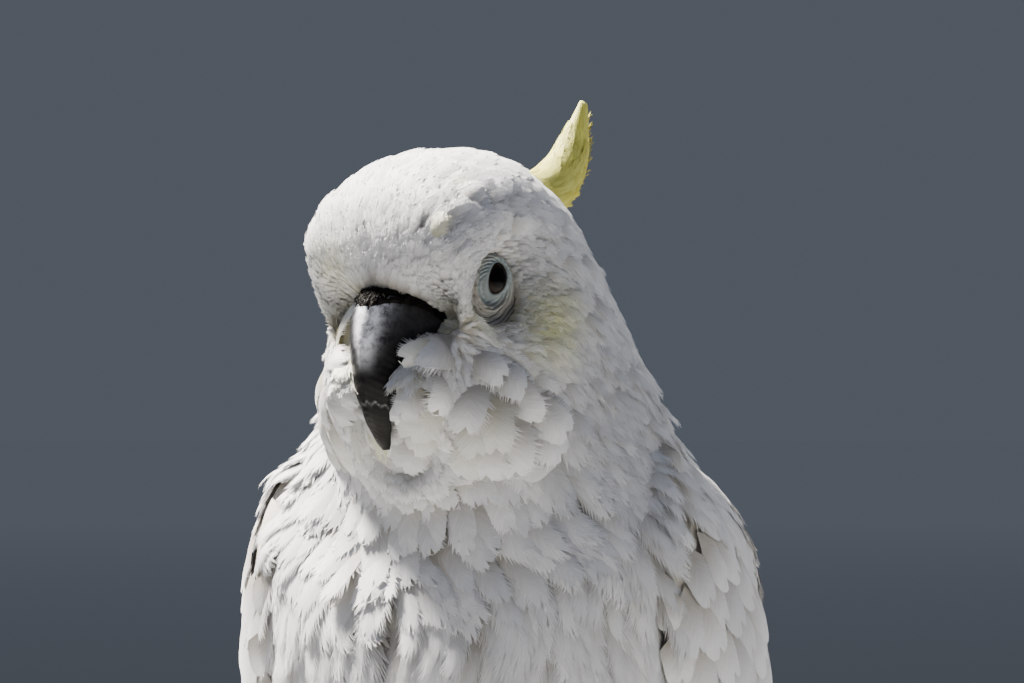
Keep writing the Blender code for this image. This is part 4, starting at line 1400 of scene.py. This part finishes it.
# %% Wing and tail quills
flight_stuff = feather_material("stiff white flight feathers", "#f3f3f0", "#e6e5e0", "#eeeeec",
                                "#efeebb", "#e6e29a", 0.08)
PRIMARY_ENDS = (8.5, 8.75, 9.0, 9.25, 9.5, 9.75, 9.95, 9.9, 9.6, 9.1)
primaries = [((5.0 - 0.06 * k, 1.7 + 0.11 * k), (end, 0.9 + 0.2 * k), (6.5, 7.5),
              (-2.6 - 0.28 * k, -1.2 - 0.24 * k), 7.0) for k, end in enumerate(PRIMARY_ENDS)]
secondaries = [((3.6 - 0.05 * k, 2.55 - 0.19 * k), (8.0 - 0.13 * k, 2.6 - 0.21 * k), (8.5, 11.0),
                (-2.2 + 0.14 * k, -0.9 + 0.12 * k), 8.0) for k in range(10)]
tertials = [((2.9 - 0.1 * k, 0.95 - 0.2 * k), (6.4 - 0.55 * k, 0.75 - 0.12 * k), (9.0, 11.0),
             (-1.0, 0.4 + 0.15 * k), 5.0) for k in range(4)]
for side_name, flip in SIDES:
    quill_piece("flight_feathers_" + side_name, flight_stuff, wing_surface,
                primaries[::-1] + secondaries + tertials, flip)

tail_specs = []
for k in (0, 11, 1, 10, 2, 9, 3, 8, 4, 7, 5, 6):
    from_middle = abs(k - 5.5) / 5.5
    place = 0.42 + k * (math.pi - 0.84) / 11
    rise = 1.2 * (1 - from_middle)
    tail_specs.append(((0.1, place * 0.6 + 0.4 * math.pi / 2), (6.9 - 0.4 * from_middle, place),
                       (9.5, 9.5), (-2.2 + rise, -3.1 + 1.3 * rise), 9.0))
quill_piece("tail_feathers", flight_stuff, tail_surface, tail_specs)


# %% [markdown]
# ## The crest
# The long crest feathers lie folded back over the crown and curl up at their tips, where they
# read as one smooth horn: cream in front, sulphur yellow behind, with a fine loose edge. A
# smooth core carries the colour, long vanes lie on it, and short barbs fray its back edge.

# %% Crest core
crest_stuff = feather_material("cream and yellow crest feathers", "#d9da74", "#cfca58", "#f0eedd",
                               "#ccc52e", "#c0b722", 0.12)
# the folded feathers end in a slimmer point than the solid
CREST_LOOK = np.vstack([CREST_RIBS[:6],
                        [(-71, 42.5, -79.5, 38.5, 3.2), (-77.8, 50.5, -80.2, 49, .9)]])


def crest_surface(at, angle):
    """The crest: angle 0 is its front edge, and half a turn its back edge."""
    return head_piece(CREST_LOOK, at, angle)


def crest_core(at, angle):
    """The crest drawn in a little: 0.95 of its height and 0.88 of its width."""
    rows = CREST_LOOK.copy()
    middle = (rows[:, 0:2] + rows[:, 2:4]) / 2
    rows[:, 0:2] = middle + (rows[:, 0:2] - middle) * 0.95
    rows[:, 2:4] = middle + (rows[:, 2:4] - middle) * 0.95
    rows[:, 4] *= 0.88
    return head_piece(rows, at, angle)


def crest_yellow(angle, at):
    """0.12 in front to 1 behind, and deeper towards the root: smoothstep of -cos angle."""
    return np.clip(0.12 + 0.85 * smoothstep(-0.15, 0.75, -np.cos(angle)) + 0.02 * (6 - at), 0, 1)


# %% Lay the crest's core
at, angle = around_grid(6.85 * np.linspace(0, 1, 60), 48)
points, faces = closed_tube(crest_core(at, angle))
vane = np.stack([np.abs(angle - math.pi).ravel() * 0.5, at.ravel() * 1.1], -1)
core = mesh_piece("crest_core", points, faces, crest_stuff,
                  {"vane": np.vstack([vane, [[0, 0], [0, 7]]])},
                  {"along": np.full(len(points), 0.7), "tone": np.full(len(points), 0.5),
                   "yellow": np.append(crest_yellow(angle, at), [0.3, 0.3])})
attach(core, "root")
print("crest_core:", len(core.data.polygons), "faces")

# %% Crest vanes and their frayed back edge
random = np.random.default_rng(12)
at, angle = spread(crest_surface, ((0.3, 4.6), (0, 2 * math.pi)),
                   lambda point, at, angle, normal: 0.055 + 0 * at, 12)
length = (33 - 4.2 * at) * random.uniform(0.9, 1.1, len(at))
vanes = laid(crest_surface, (at, angle), length, 2.9, straight_on, (0.05, 6.9), feather_plan(8, 30),
             random, np.stack([angle / 6.3, at / 7], -1), crest_yellow(angle, at), whole=0.86,
             lift=(-0.7, 0.12 + 0.35 * random.random(len(at))), camber=0.25, puff=0.1, ragged=0.12,
             notch=0.02, fluff=0.04, yaw=0.012, round_tip=0.75)
coat_piece("crest_vanes", crest_stuff, [vanes], ("crest",))
random = np.random.default_rng(11)
count = 150
at, angle = random.uniform(2.6, 6.35, count), math.pi + random.normal(0, 0.42, count)
length = (8.5 - 0.75 * at) * random.uniform(0.7, 1.15, count)
fringe = laid(crest_surface, (at, angle), length, length * 0.17, straight_on, (0.05, 6.95),
              feather_plan(3, 8), random, np.stack([angle / 6.3, at / 7], -1), 0.95, whole=0.4,
              lift=(-0.8, 1.2), camber=0.1, ragged=0.3, notch=0.2, fluff=0.3, yaw=0.05)
coat_piece("crest_fringe", crest_stuff, [fringe])

# %% [markdown]
# ## Wing coverts, mantle and thigh feathers
# Small round feathers cover the wing from its bend, row over row, each row longer than the
# last, and the greater coverts lie over the roots of the flight feathers. Between the back and
# the folded wings is a hollow, which a bird's mantle feathers roof over, so here a surface of
# their own spans it. The thighs wear loose fluffy feathers down to the ankle.

# %% Coverts
def covert_length(at):
    """Millimetres: small at the bend of the wing, long over the quills' roots."""
    return by_rib(at, [(0, 14), (1, 20), (2, 27), (3, 34), (4, 41), (5.2, 47)])


def covert_density(point, at, angle, normal):
    """1 / (share of a covert's length x its width); none far down the quills."""
    length = covert_length(at)
    last = 4.9 - 1.1 * smoothstep(0.8, 2.6, angle)
    edge = smoothstep(-0.2, 0.1, angle) * smoothstep(3.3, 3.1, angle)
    return edge * (at < last) / (0.17 * length**2)


for (side_name, flip), seed in zip(SIDES, (21, 22)):
    random = np.random.default_rng(seed)
    at, angle = spread(wing_surface, ((0.5, 5.2), (-0.5, math.pi + 0.5)), covert_density, seed)
    length = covert_length(at) * random.uniform(0.92, 1.08, len(at))
    on_edge = smoothstep(0.7, 0.2, angle) + smoothstep(2.5, 2.9, angle)
    length = length * (1 - 0.3 * on_edge)
    batch = laid(wing_surface, (at, angle), length, length * 0.35, straight_on, (0.05, 9.8),
                 feather_plan(7, 24), random, np.stack([(angle + 0.5) / (math.pi + 1), at / 5.3], -1),
                 whole=0.955, lift=(-by_rib(at, [(0, 1.0), (1.5, 1.6), (3, 2.4)]),
                                    0.2 + random.uniform(0, 0.8, len(at)) * (1 - on_edge)),
                 camber=0.16, puff=0.35, bend=0.35, ragged=0.04, notch=0.01, yaw=0.025, roll=0.015,
                 fluff=0.03, shoulder=0.34, round_tip=0.5)
    coat_piece("coverts_" + side_name, white_stuff, [on_side(batch, flip)])


# %% Mantle feathers, from the back over the wings' upper edges
def mantle_surface(at, share):
    """A roof over the hollow between back and wing, at 0 to 1 across it, in the wing's ribs.

    Each rib is a Bezier arc from the back, past the wing's upper edge, to its outer face.
    """
    none = 0 * at
    low, _, _, up = frames_of(body_surface, 9.3 + 1.37 * at, 0.32 + none)
    edge, _, _, _ = frames_of(wing_surface, at, none)
    outside, _, _, out = frames_of(wing_surface, at, 0.75 + none)
    low, outside = low + up * 0.4, outside + out * 0.5
    over = 2 * (edge + unit(up + out) * 1.2) - (low + outside) / 2
    share = share[..., None]
    return low * (1 - share) ** 2 + over * 2 * share * (1 - share) + outside * share**2


def mantle_length(at):
    """Millimetres: from the shoulder to the rump."""
    return by_rib(at, [(1, 18), (3, 27), (5.5, 38), (7, 34)])


for (side_name, flip), seed in zip(SIDES, (51, 52)):
    random = np.random.default_rng(seed)
    at, share = spread(mantle_surface, ((1.7, 6.9), (0.0, 0.85)),
                       lambda point, at, share, normal: 1 / (0.10 * mantle_length(at) ** 2), seed)
    length = mantle_length(at) * random.uniform(0.9, 1.1, len(at))
    batch = laid(mantle_surface, (at, share), length, length * 0.33, straight_on, (0.8, 8.6),
                 feather_plan(6, 22), random, np.stack([share, at / 7], -1), 0.0,
                 np.array([0.0, 1.0, 0.0]), whole=0.9,
                 lift=(-1.8, 0.3 + random.uniform(0, 0.5, len(at))), camber=0.2, puff=0.3, bend=0.5,
                 ragged=0.1, notch=0.03, yaw=0.05, roll=0.03, fluff=0.06, round_tip=0.5)
    coat_piece("mantle_" + side_name, white_stuff, [on_side(batch, flip)])

# %% Thigh feathers
for (side_name, flip), seed in zip(SIDES, (31, 32)):
    random = np.random.default_rng(seed)
    at, angle = spread(thigh_surface, ((0.7, 4.75), (0, 2 * math.pi)),
                       lambda point, at, angle, normal: 1 / (22 - 3.2 * at), seed)
    length = (21 - 2.9 * at) * random.uniform(0.85, 1.15, len(at))
    points, normals = march(thigh_surface, at, angle, length, straight_on, (0.1, 4.95))
    arrays = feathers(points, normals, feather_plan(4, 14), length, length * 0.24, random,
                      whole=0.5, lift=(-2.2, 0.9 + 0.8 * clumps(points[:, 1], 14, 8)), camber=0.3,
                      ragged=0.25, notch=0.22, fluff=0.5, yaw=0.14)
    batch = (*arrays, np.stack([angle / (2 * math.pi), at / 5], -1), tints(random, len(at)))
    coat_piece("thigh_feathers_" + side_name, white_stuff, [on_side(batch, flip)])

# %% [markdown]
# ## Bill
# A cockatoo's bill is black horn over bone, dulled by the fine white powder of its own down.
# The upper half hangs over the lower in one deep hook. Its base wears a soft black cere with
# two nostrils. Each is a lofted surface with its relief added along the normal.


# %% Horn material
def horn_material(name, base, middle, tip, powder):
    """Layered horn: streaks run to the tip, and dry powder gathers where its attribute says.

    On the upper bill's culmen the powder is also a painted highlight.
    """
    made, tree, shader = new_material(name, IOR=1.54, Specular_IOR_Level=0.12)
    value = {key: add_node(tree, "ShaderNodeAttribute", {"attribute_name": key}).outputs["Fac"]
             for key in ("along", "powder")}
    stretched = add_node(tree, "ShaderNodeMapping", {"Scale": (1.0, 0.16, 1.0)},
                         i0=add_node(tree, "ShaderNodeUVMap", {"uv_map": "horn"}))
    streaks = add_node(tree, "ShaderNodeTexNoise", {"Scale": 1.6, "Detail": 5.0, "Roughness": 0.6},
                       i0=stretched)
    dust = add_node(tree, "ShaderNodeTexNoise", {"Scale": 420.0, "Detail": 6.0, "Roughness": 0.7},
                    i0=add_node(tree, "ShaderNodeTexCoord").outputs["Object"])
    colour = add_node(tree, "ShaderNodeValToRGB",
                      {"stops": [(0.0, base), (0.45, middle), (1.0, tip)]}, i0=value["along"])
    pale = add_node(tree, "ShaderNodeValToRGB", {"stops": [(0.3, 0.2), (0.7, 0.75)]}, i0=streaks)
    streaked = add_node(tree, "ShaderNodeMix", {"data_type": "RGBA", "blend_type": "OVERLAY"},
                        i0=0.35, i6=colour, i7=pale)
    grains = add_node(tree, "ShaderNodeValToRGB", {"stops": [(0.33, 0.15), (0.55, 1.0)]}, i0=dust)
    # Powder and painted highlight: the attribute times the grains mixes in the pale colour.
    powder_and_highlight = add_node(tree, "ShaderNodeMath", {"operation": "MULTIPLY"}, i0=value["powder"],
                        i1=grains)
    dusty = add_node(tree, "ShaderNodeMix", {"data_type": "RGBA"}, i0=powder_and_highlight, i6=streaked,
                     i7=linear(powder))
    dull = add_node(tree, "ShaderNodeValToRGB", {"stops": [(0.0, 0.32), (0.5, 0.6)]}, i0=powder_and_highlight)
    both = add_node(tree, "ShaderNodeMath", {"operation": "MULTIPLY_ADD"}, i0=dust, i1=0.3,
                    i2=streaks)
    bump = add_node(tree, "ShaderNodeBump", {"Strength": 0.35, "Distance": 0.0004}, Height=both)
    wire(tree, shader, Base_Color=dusty, Roughness=dull, Normal=bump)
    return made


# The pale powder colour also paints the highlight on the culmen's front.
bill_stuff = horn_material("black bill horn", "#17181a", "#0c0c0d", "#070605", "#e6e9f1")
claw_stuff = horn_material("dark claw horn", "#3a3735", "#242221", "#131110", "#8d8a86")


# %% Upper bill
def from_front(angle):
    """An angle from minus to plus half a turn, 0 at the front."""
    return (angle + math.pi) % (2 * math.pi) - math.pi


FLAKE_AT = 5.77  # where the horn's worn layer ends, along the bill's ribs


def ragged_line(turn):
    """How far the worn layer's end wanders along the bill: 0.05 sin 9 turn."""
    return 0.05 * np.sin(9 * turn)


def bill_relief(at, angle):
    """Millimetres of relief: growth layers, a worn lip, and a flaked line across the hook."""
    turn = from_front(angle)
    layers = 0.10 * np.sin(5.2 * at + 0.9 * np.cos(turn)) * smoothstep(0.8, 2.5, at)
    fine = 0.035 * np.sin(26 * at + 3 * np.sin(2 * turn))
    lip = -0.5 * np.exp(-((at - 4.6) / 0.35) ** 2) * smoothstep(2.4, 3.0, np.abs(turn))
    flake = -0.16 * smoothstep(FLAKE_AT - 0.02, FLAKE_AT + 0.03, at + ragged_line(turn))
    flake = flake * (1 - smoothstep(6.1, 6.9, at))
    ridge = 0.35 * np.exp(-(turn / 0.28) ** 2) * smoothstep(0.8, 2.0, at) * (1 - smoothstep(5, 7, at))
    return layers + fine + lip + flake + ridge


# %% Both halves of the bill
def horn_piece(name, surface, relief, last, count, sides, powder, node):
    """A closed horn: a surface moved out along its normal by its relief, with its powder, which
    on the upper bill is partly a painted highlight.
    """
    at, angle = around_grid(last * np.linspace(0, 1, count), sides)
    point, _, _, normal = frames_of(surface, at, angle)
    points, faces = closed_tube(point + normal * relief(at, angle)[..., None])
    turn = from_front(angle)
    uv = np.stack([np.append(np.abs(turn) * 6, [0, 0]), np.append(at * 8, [0, last * 8])], -1)
    piece = mesh_piece(name, points, faces, bill_stuff, {"horn": uv},
                       {"along": np.append(at / last, [0, 1]),
                        "powder": np.append(powder(at, turn), [0, 0])})
    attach(piece, "root")
    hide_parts(node)
    print(name, len(piece.data.polygons), "faces")


def upper_powder_and_highlight(at, turn):
    """Powder on the culmen's front, partly a painted highlight, a film near the base and a line at
    the worn layer's end.
    """
    # Painted highlight: the front's powder is laid on 2.2 times over, so that the culmen reads as lit.
    front = np.exp(-((turn + 0.10) / 0.42) ** 2) * smoothstep(1.9, 2.5, at)
    front = front * (1 - smoothstep(3.2, 5.0, at))
    film = 0.03 * (1 - smoothstep(2, 4.5, at))
    flaked = 0.2 * np.exp(-((at + ragged_line(turn) - FLAKE_AT) / 0.03) ** 2)
    return np.clip(2.2 * front + film + flaked, 0, 1)


horn_piece("upper_bill_horn", bill_surface, bill_relief, 8.0, 120, 96, upper_powder_and_highlight, "upper_bill")


def lower_bill_surface(at, angle):
    """The lower bill, mostly hidden in the cheek's feathers."""
    return head_piece(LOWER_BILL, at, -angle)


horn_piece("lower_bill_horn", lower_bill_surface,
           lambda at, angle: 0.08 * np.sin(9 * at + np.cos(angle)), 4.0, 50, 64,
           lambda at, turn: 0.02 + 0 * at, "lower_bill")


# %% Cere with nostrils
NOSTRIL_ANGLE, NOSTRIL_AT = 0.60, 0.80
GAPE_REACH = 8.0  # mm from the bill's base out to the corner of the mouth


def cere_surface(at, angle):
    """A soft band over the bill's base: the bill, swollen by 1.2 mm, with two pits.

    At the sides it swells by 8 mm more in a wedge, the skin that runs to the mouth's corner.
    """
    turn = from_front(angle)
    reach = 1.35 + 1.65 * np.exp(-(turn / 0.95) ** 2)
    rib = 0.05 + at * reach
    point, _, _, normal = frames_of(bill_surface, rib, angle)
    swell = 1.35 * (1 - np.clip(at, 0, 1) ** 7) - 0.15
    wedge = GAPE_REACH * np.exp(-((np.abs(turn) - 2.05) / 0.26) ** 2 - ((rib - 0.55) / 0.55) ** 2)
    away = ((np.abs(turn) - NOSTRIL_ANGLE) * 9.5) ** 2 + ((at - NOSTRIL_AT) * 20) ** 2
    pit = 2.3 * np.exp(-away / 2.1) - 0.45 * np.exp(-(np.sqrt(away) - 2.3) ** 2 / 0.6)
    return point + normal * (swell + wedge - pit)[..., None]


# Bare skin over the horn's root is soft, matt and finely pitted.
cere_stuff, tree, shader = new_material("soft black cere skin", Roughness=0.8, Specular_IOR_Level=0.1)
pores = add_node(tree, "ShaderNodeTexVoronoi", {"Scale": 1400.0},
                 i0=add_node(tree, "ShaderNodeTexCoord").outputs["Object"])
black = add_node(tree, "ShaderNodeValToRGB", {"stops": [(0.0, "#0e0d0b"), (0.8, "#201e1c")]}, i0=pores)
bump = add_node(tree, "ShaderNodeBump", {"Strength": 0.5, "Distance": 0.0003}, Height=pores)
wire(tree, shader, Base_Color=black, Normal=bump)
points, faces = tube_of(cere_surface, 0.0, 1.0, 60, 160)
cere = mesh_piece("cere", points, faces, cere_stuff)
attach(cere, "root")
print("cere", len(cere.data.polygons), "faces")

# %% Black bristles on the cere
bristle_stuff = feather_material("black bristle feathers", "#131211", "#0c0b0a", "#8f8f8f",
                                 "#131211", "#0c0b0a", 0.0)
wire(bristle_stuff.node_tree, bristle_stuff.node_tree.nodes["Principled BSDF"], Sheen_Weight=0,
     Specular_IOR_Level=0.1)
random = np.random.default_rng(41)
at, angle = spread(cere_surface, ((0.45, 0.92), (-1.7, 1.7)),
                   lambda point, at, angle, normal: 1.3 + 0 * at, 41)
length = random.uniform(1.3, 2.3, len(at))
bristles = laid(cere_surface, (at, angle), length, length * 0.16, straight_on, (0.02, 0.98),
                feather_plan(2, 3), random, np.stack([(angle + 1.9) / 3.8, at], -1), whole=0.5,
                lift=(-0.1, 0.5), camber=0.0, ragged=0.3, fluff=0.25, yaw=0.4)
coat_piece("cere_bristles", bristle_stuff, [bristles])

# %% [markdown]
# ## Feet and claws
# Parrots have two toes ahead and two behind, in dark grey skin cut into scutes across the
# toes' tops and small scales at their sides. Each foot is one shank and four toes united.
# The scutes are ridges in the shape, and the small scales a cell pattern in the surface.

# %% Foot shapes
SHANK_RIBS = np.array([(37, -31, 37, 4, 4.2), (37, -29, 29, 4.8, 5.2), (37, -21, 19, 4.5, 4.8),
                       (37, -10, 10, 5.2, 5.6), (37, -4, 6.5, 4.2, 4.2)], float)
TOES = ((31, -16, 2), (43, 17, 3), (40, 158, 4), (23, 206, 2))
TOE_RADIUS, TOE_TIP_RADIUS, TOE_DEPTH = 4.4, 3.3, 0.92
FOOT_SPACING, FOOT_FORWARD, FLOOR_SINK = 37.0, -6.0, 0.55
CLAW_LENGTH, CLAW_RADIUS = 15.0, 2.5
SCUTE = 2.4  # mm from one scute to the next
print("toes:", [length for length, _, _ in TOES], "mm, and claws of", CLAW_LENGTH, "mm")


def scute_ridge(distance, c):
    """0.28 mm high scutes on the upper side: |cos(pi d / s)|, sharpened, times (1 + c) / 2."""
    tooth = np.abs(np.cos(math.pi * distance / SCUTE)) ** 0.5
    return 0.28 * (tooth - 0.5) * smoothstep(-0.1, 0.6, c)


def toe_line(length, degrees, go):
    """A toe's centre, from the ball of the foot down to the floor and along it."""
    angle = math.radians(degrees)
    radius = TOE_RADIUS + (TOE_TIP_RADIUS - TOE_RADIUS) * go / length
    height = TOE_DEPTH * radius - FLOOR_SINK + 1.6 * np.exp(-go / 8.0)
    return np.stack([FOOT_SPACING + go * math.sin(angle), -(FOOT_FORWARD + go * math.cos(angle)),
                     height], -1), radius


# %% Toes, shank and claws as rings
def toe_rings(length, degrees, pads, count=70, sides=36):
    """Rings of a toe, swollen under each pad, ridged on top, round at its tip."""
    t = np.linspace(0, 1, count)
    centre, radius = toe_line(length, degrees, t * length)
    radius = radius * (1 + 0.10 * np.cos(2 * math.pi * pads * (t - 0.5 / pads)))
    radius = radius * np.sqrt(np.clip(1 - ((t - 0.9) / 0.105).clip(0, 1) ** 2, 0.02, 1))
    angle = np.arange(sides) * 2 * math.pi / sides
    c, s = np.cos(angle)[None, :, None], np.sin(angle)[None, :, None]
    aside = np.array([math.cos(math.radians(degrees)), math.sin(math.radians(degrees)), 0.0])
    ridge = scute_ridge((t * length)[:, None], np.cos(angle)[None])[..., None]
    up = np.array([0, 0, 1.0]) * TOE_DEPTH
    return centre[:, None] + (up * c + aside * s) * (radius[:, None, None] + ridge)


def shank_surface(at, angle):
    """The bare shank, with scutes down its front."""
    point = limb_surface(SHANK_RIBS, at, angle)
    middle = limb_surface(SHANK_RIBS, at, angle + math.pi)
    return point + unit(point - middle) * scute_ridge(at * 9.5, np.cos(angle))[..., None]


def claw_rings(length, degrees, count, sides):
    """A claw that springs from the toe's tip and curves down to the floor, to a point."""
    angle, t = math.radians(degrees), np.linspace(0, 1, count)
    tip = toe_line(length, degrees, np.array([float(length)]))[0][0]
    out = -2.5 + CLAW_LENGTH * np.sin(t * 1.25) / math.sin(1.25) * 0.86
    rise = 1.0 + 4.4 * np.sin(t * math.pi * 0.62) - 7.9 * t**2
    centre = np.stack([tip[0] + out * math.sin(angle), tip[1] - out * math.cos(angle),
                       tip[2] + rise], -1)
    radius = (CLAW_RADIUS * (1 - t**1.6) + 0.25)[:, None, None]
    side = np.array([math.cos(angle), math.sin(angle), 0.0])
    top = unit(np.cross(side, np.gradient(centre, axis=0)))
    turn = np.arange(sides) * 2 * math.pi / sides
    c, s = np.cos(turn)[None, :, None], np.sin(turn)[None, :, None]
    return centre[:, None] + radius * (top[:, None] * 1.15 * c + side * 0.85 * s)


# %% Foot skin
# Keratin scales, worn dry and dull: dark grey with darker lines where the scales meet.
foot_stuff, tree, shader = new_material("dark grey scaly foot skin", Roughness=0.55)
place = add_node(tree, "ShaderNodeTexCoord").outputs["Object"]
cells = add_node(tree, "ShaderNodeTexVoronoi", {"feature": "DISTANCE_TO_EDGE", "Scale": 700.0},
                 i0=place)
worn = add_node(tree, "ShaderNodeTexNoise", {"Scale": 160.0, "Detail": 4.0}, i0=place)
grey = add_node(tree, "ShaderNodeValToRGB", {"stops": [(0.35, "#2f2e2e"), (0.7, "#4b4947")]}, i0=worn)
gaps = add_node(tree, "ShaderNodeValToRGB", {"stops": [(0.0, 0.35), (0.12, 1.0)]}, i0=cells)
creased = add_node(tree, "ShaderNodeMix", TIMES, i0=0.6, i6=grey, i7=gaps)
domes = add_node(tree, "ShaderNodeValToRGB", {"stops": [(0.0, 0.0), (0.2, 1.0)]}, i0=cells)
bump = add_node(tree, "ShaderNodeBump", {"Strength": 0.6, "Distance": 0.0004}, Height=domes)
wire(tree, shader, Base_Color=creased, Normal=bump)


# %% Unite each foot, and add its claws
def on_the_floor(mesh):
    """Points below the floor are set on it, so that the soles lie flat."""
    points = np.empty(len(mesh.vertices) * 3, np.float32)
    mesh.vertices.foreach_get("co", points)
    points[2::3] = np.maximum(points[2::3], 0)
    mesh.vertices.foreach_set("co", points)
    mesh.update()


CLAW_RINGS, CLAW_SIDES = 30, 20
ring, corner = np.meshgrid(np.arange(CLAW_RINGS), np.arange(CLAW_SIDES), indexing="ij")
claw_map = np.vstack([np.stack([corner.ravel(), ring.ravel() * 0.6], -1),
                      [[0, 0], [0, CLAW_RINGS * 0.6]]])
along = np.append(np.repeat(np.linspace(0, 1, CLAW_RINGS), CLAW_SIDES), [0, 1])
for side_name, flip in SIDES:
    shells = []
    parts = [tube_of(shank_surface, 0.0, 4.0, 60, 40)]
    parts += [closed_tube(toe_rings(*toe)) for toe in TOES]
    for k, (points, faces) in enumerate(parts):
        name = "foot_skin_" + side_name if k == 0 else f"toe_{side_name}_{k}"
        shells.append(mesh_piece(name, points * flip, outwards(points * flip, faces), foot_stuff))
    foot = united_mesh(shells)
    on_the_floor(foot.data)
    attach(foot, "root")
    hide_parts("foot_" + side_name)
    for k, (length, degrees, _) in enumerate(TOES):
        points, faces = closed_tube(claw_rings(length, degrees, CLAW_RINGS, CLAW_SIDES) * flip)
        claw = mesh_piece(f"claw_horn_{side_name}_{k + 1}", points, faces, claw_stuff,
                          {"horn": claw_map}, {"along": along, "powder": along * 0 + 0.05})
        on_the_floor(claw.data)
        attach(claw, "root")
        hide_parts(f"claw_{side_name}_{k + 1}")

# %% [markdown]
# ## Sizes
# The solids' box is written down. The dressed bird must stay inside the solids' box.

# %% Write the solids' box and finish
bpy.context.view_layer.update()
print("cad", [round(x, 4) for x in (*cad_low, *cad_high)])
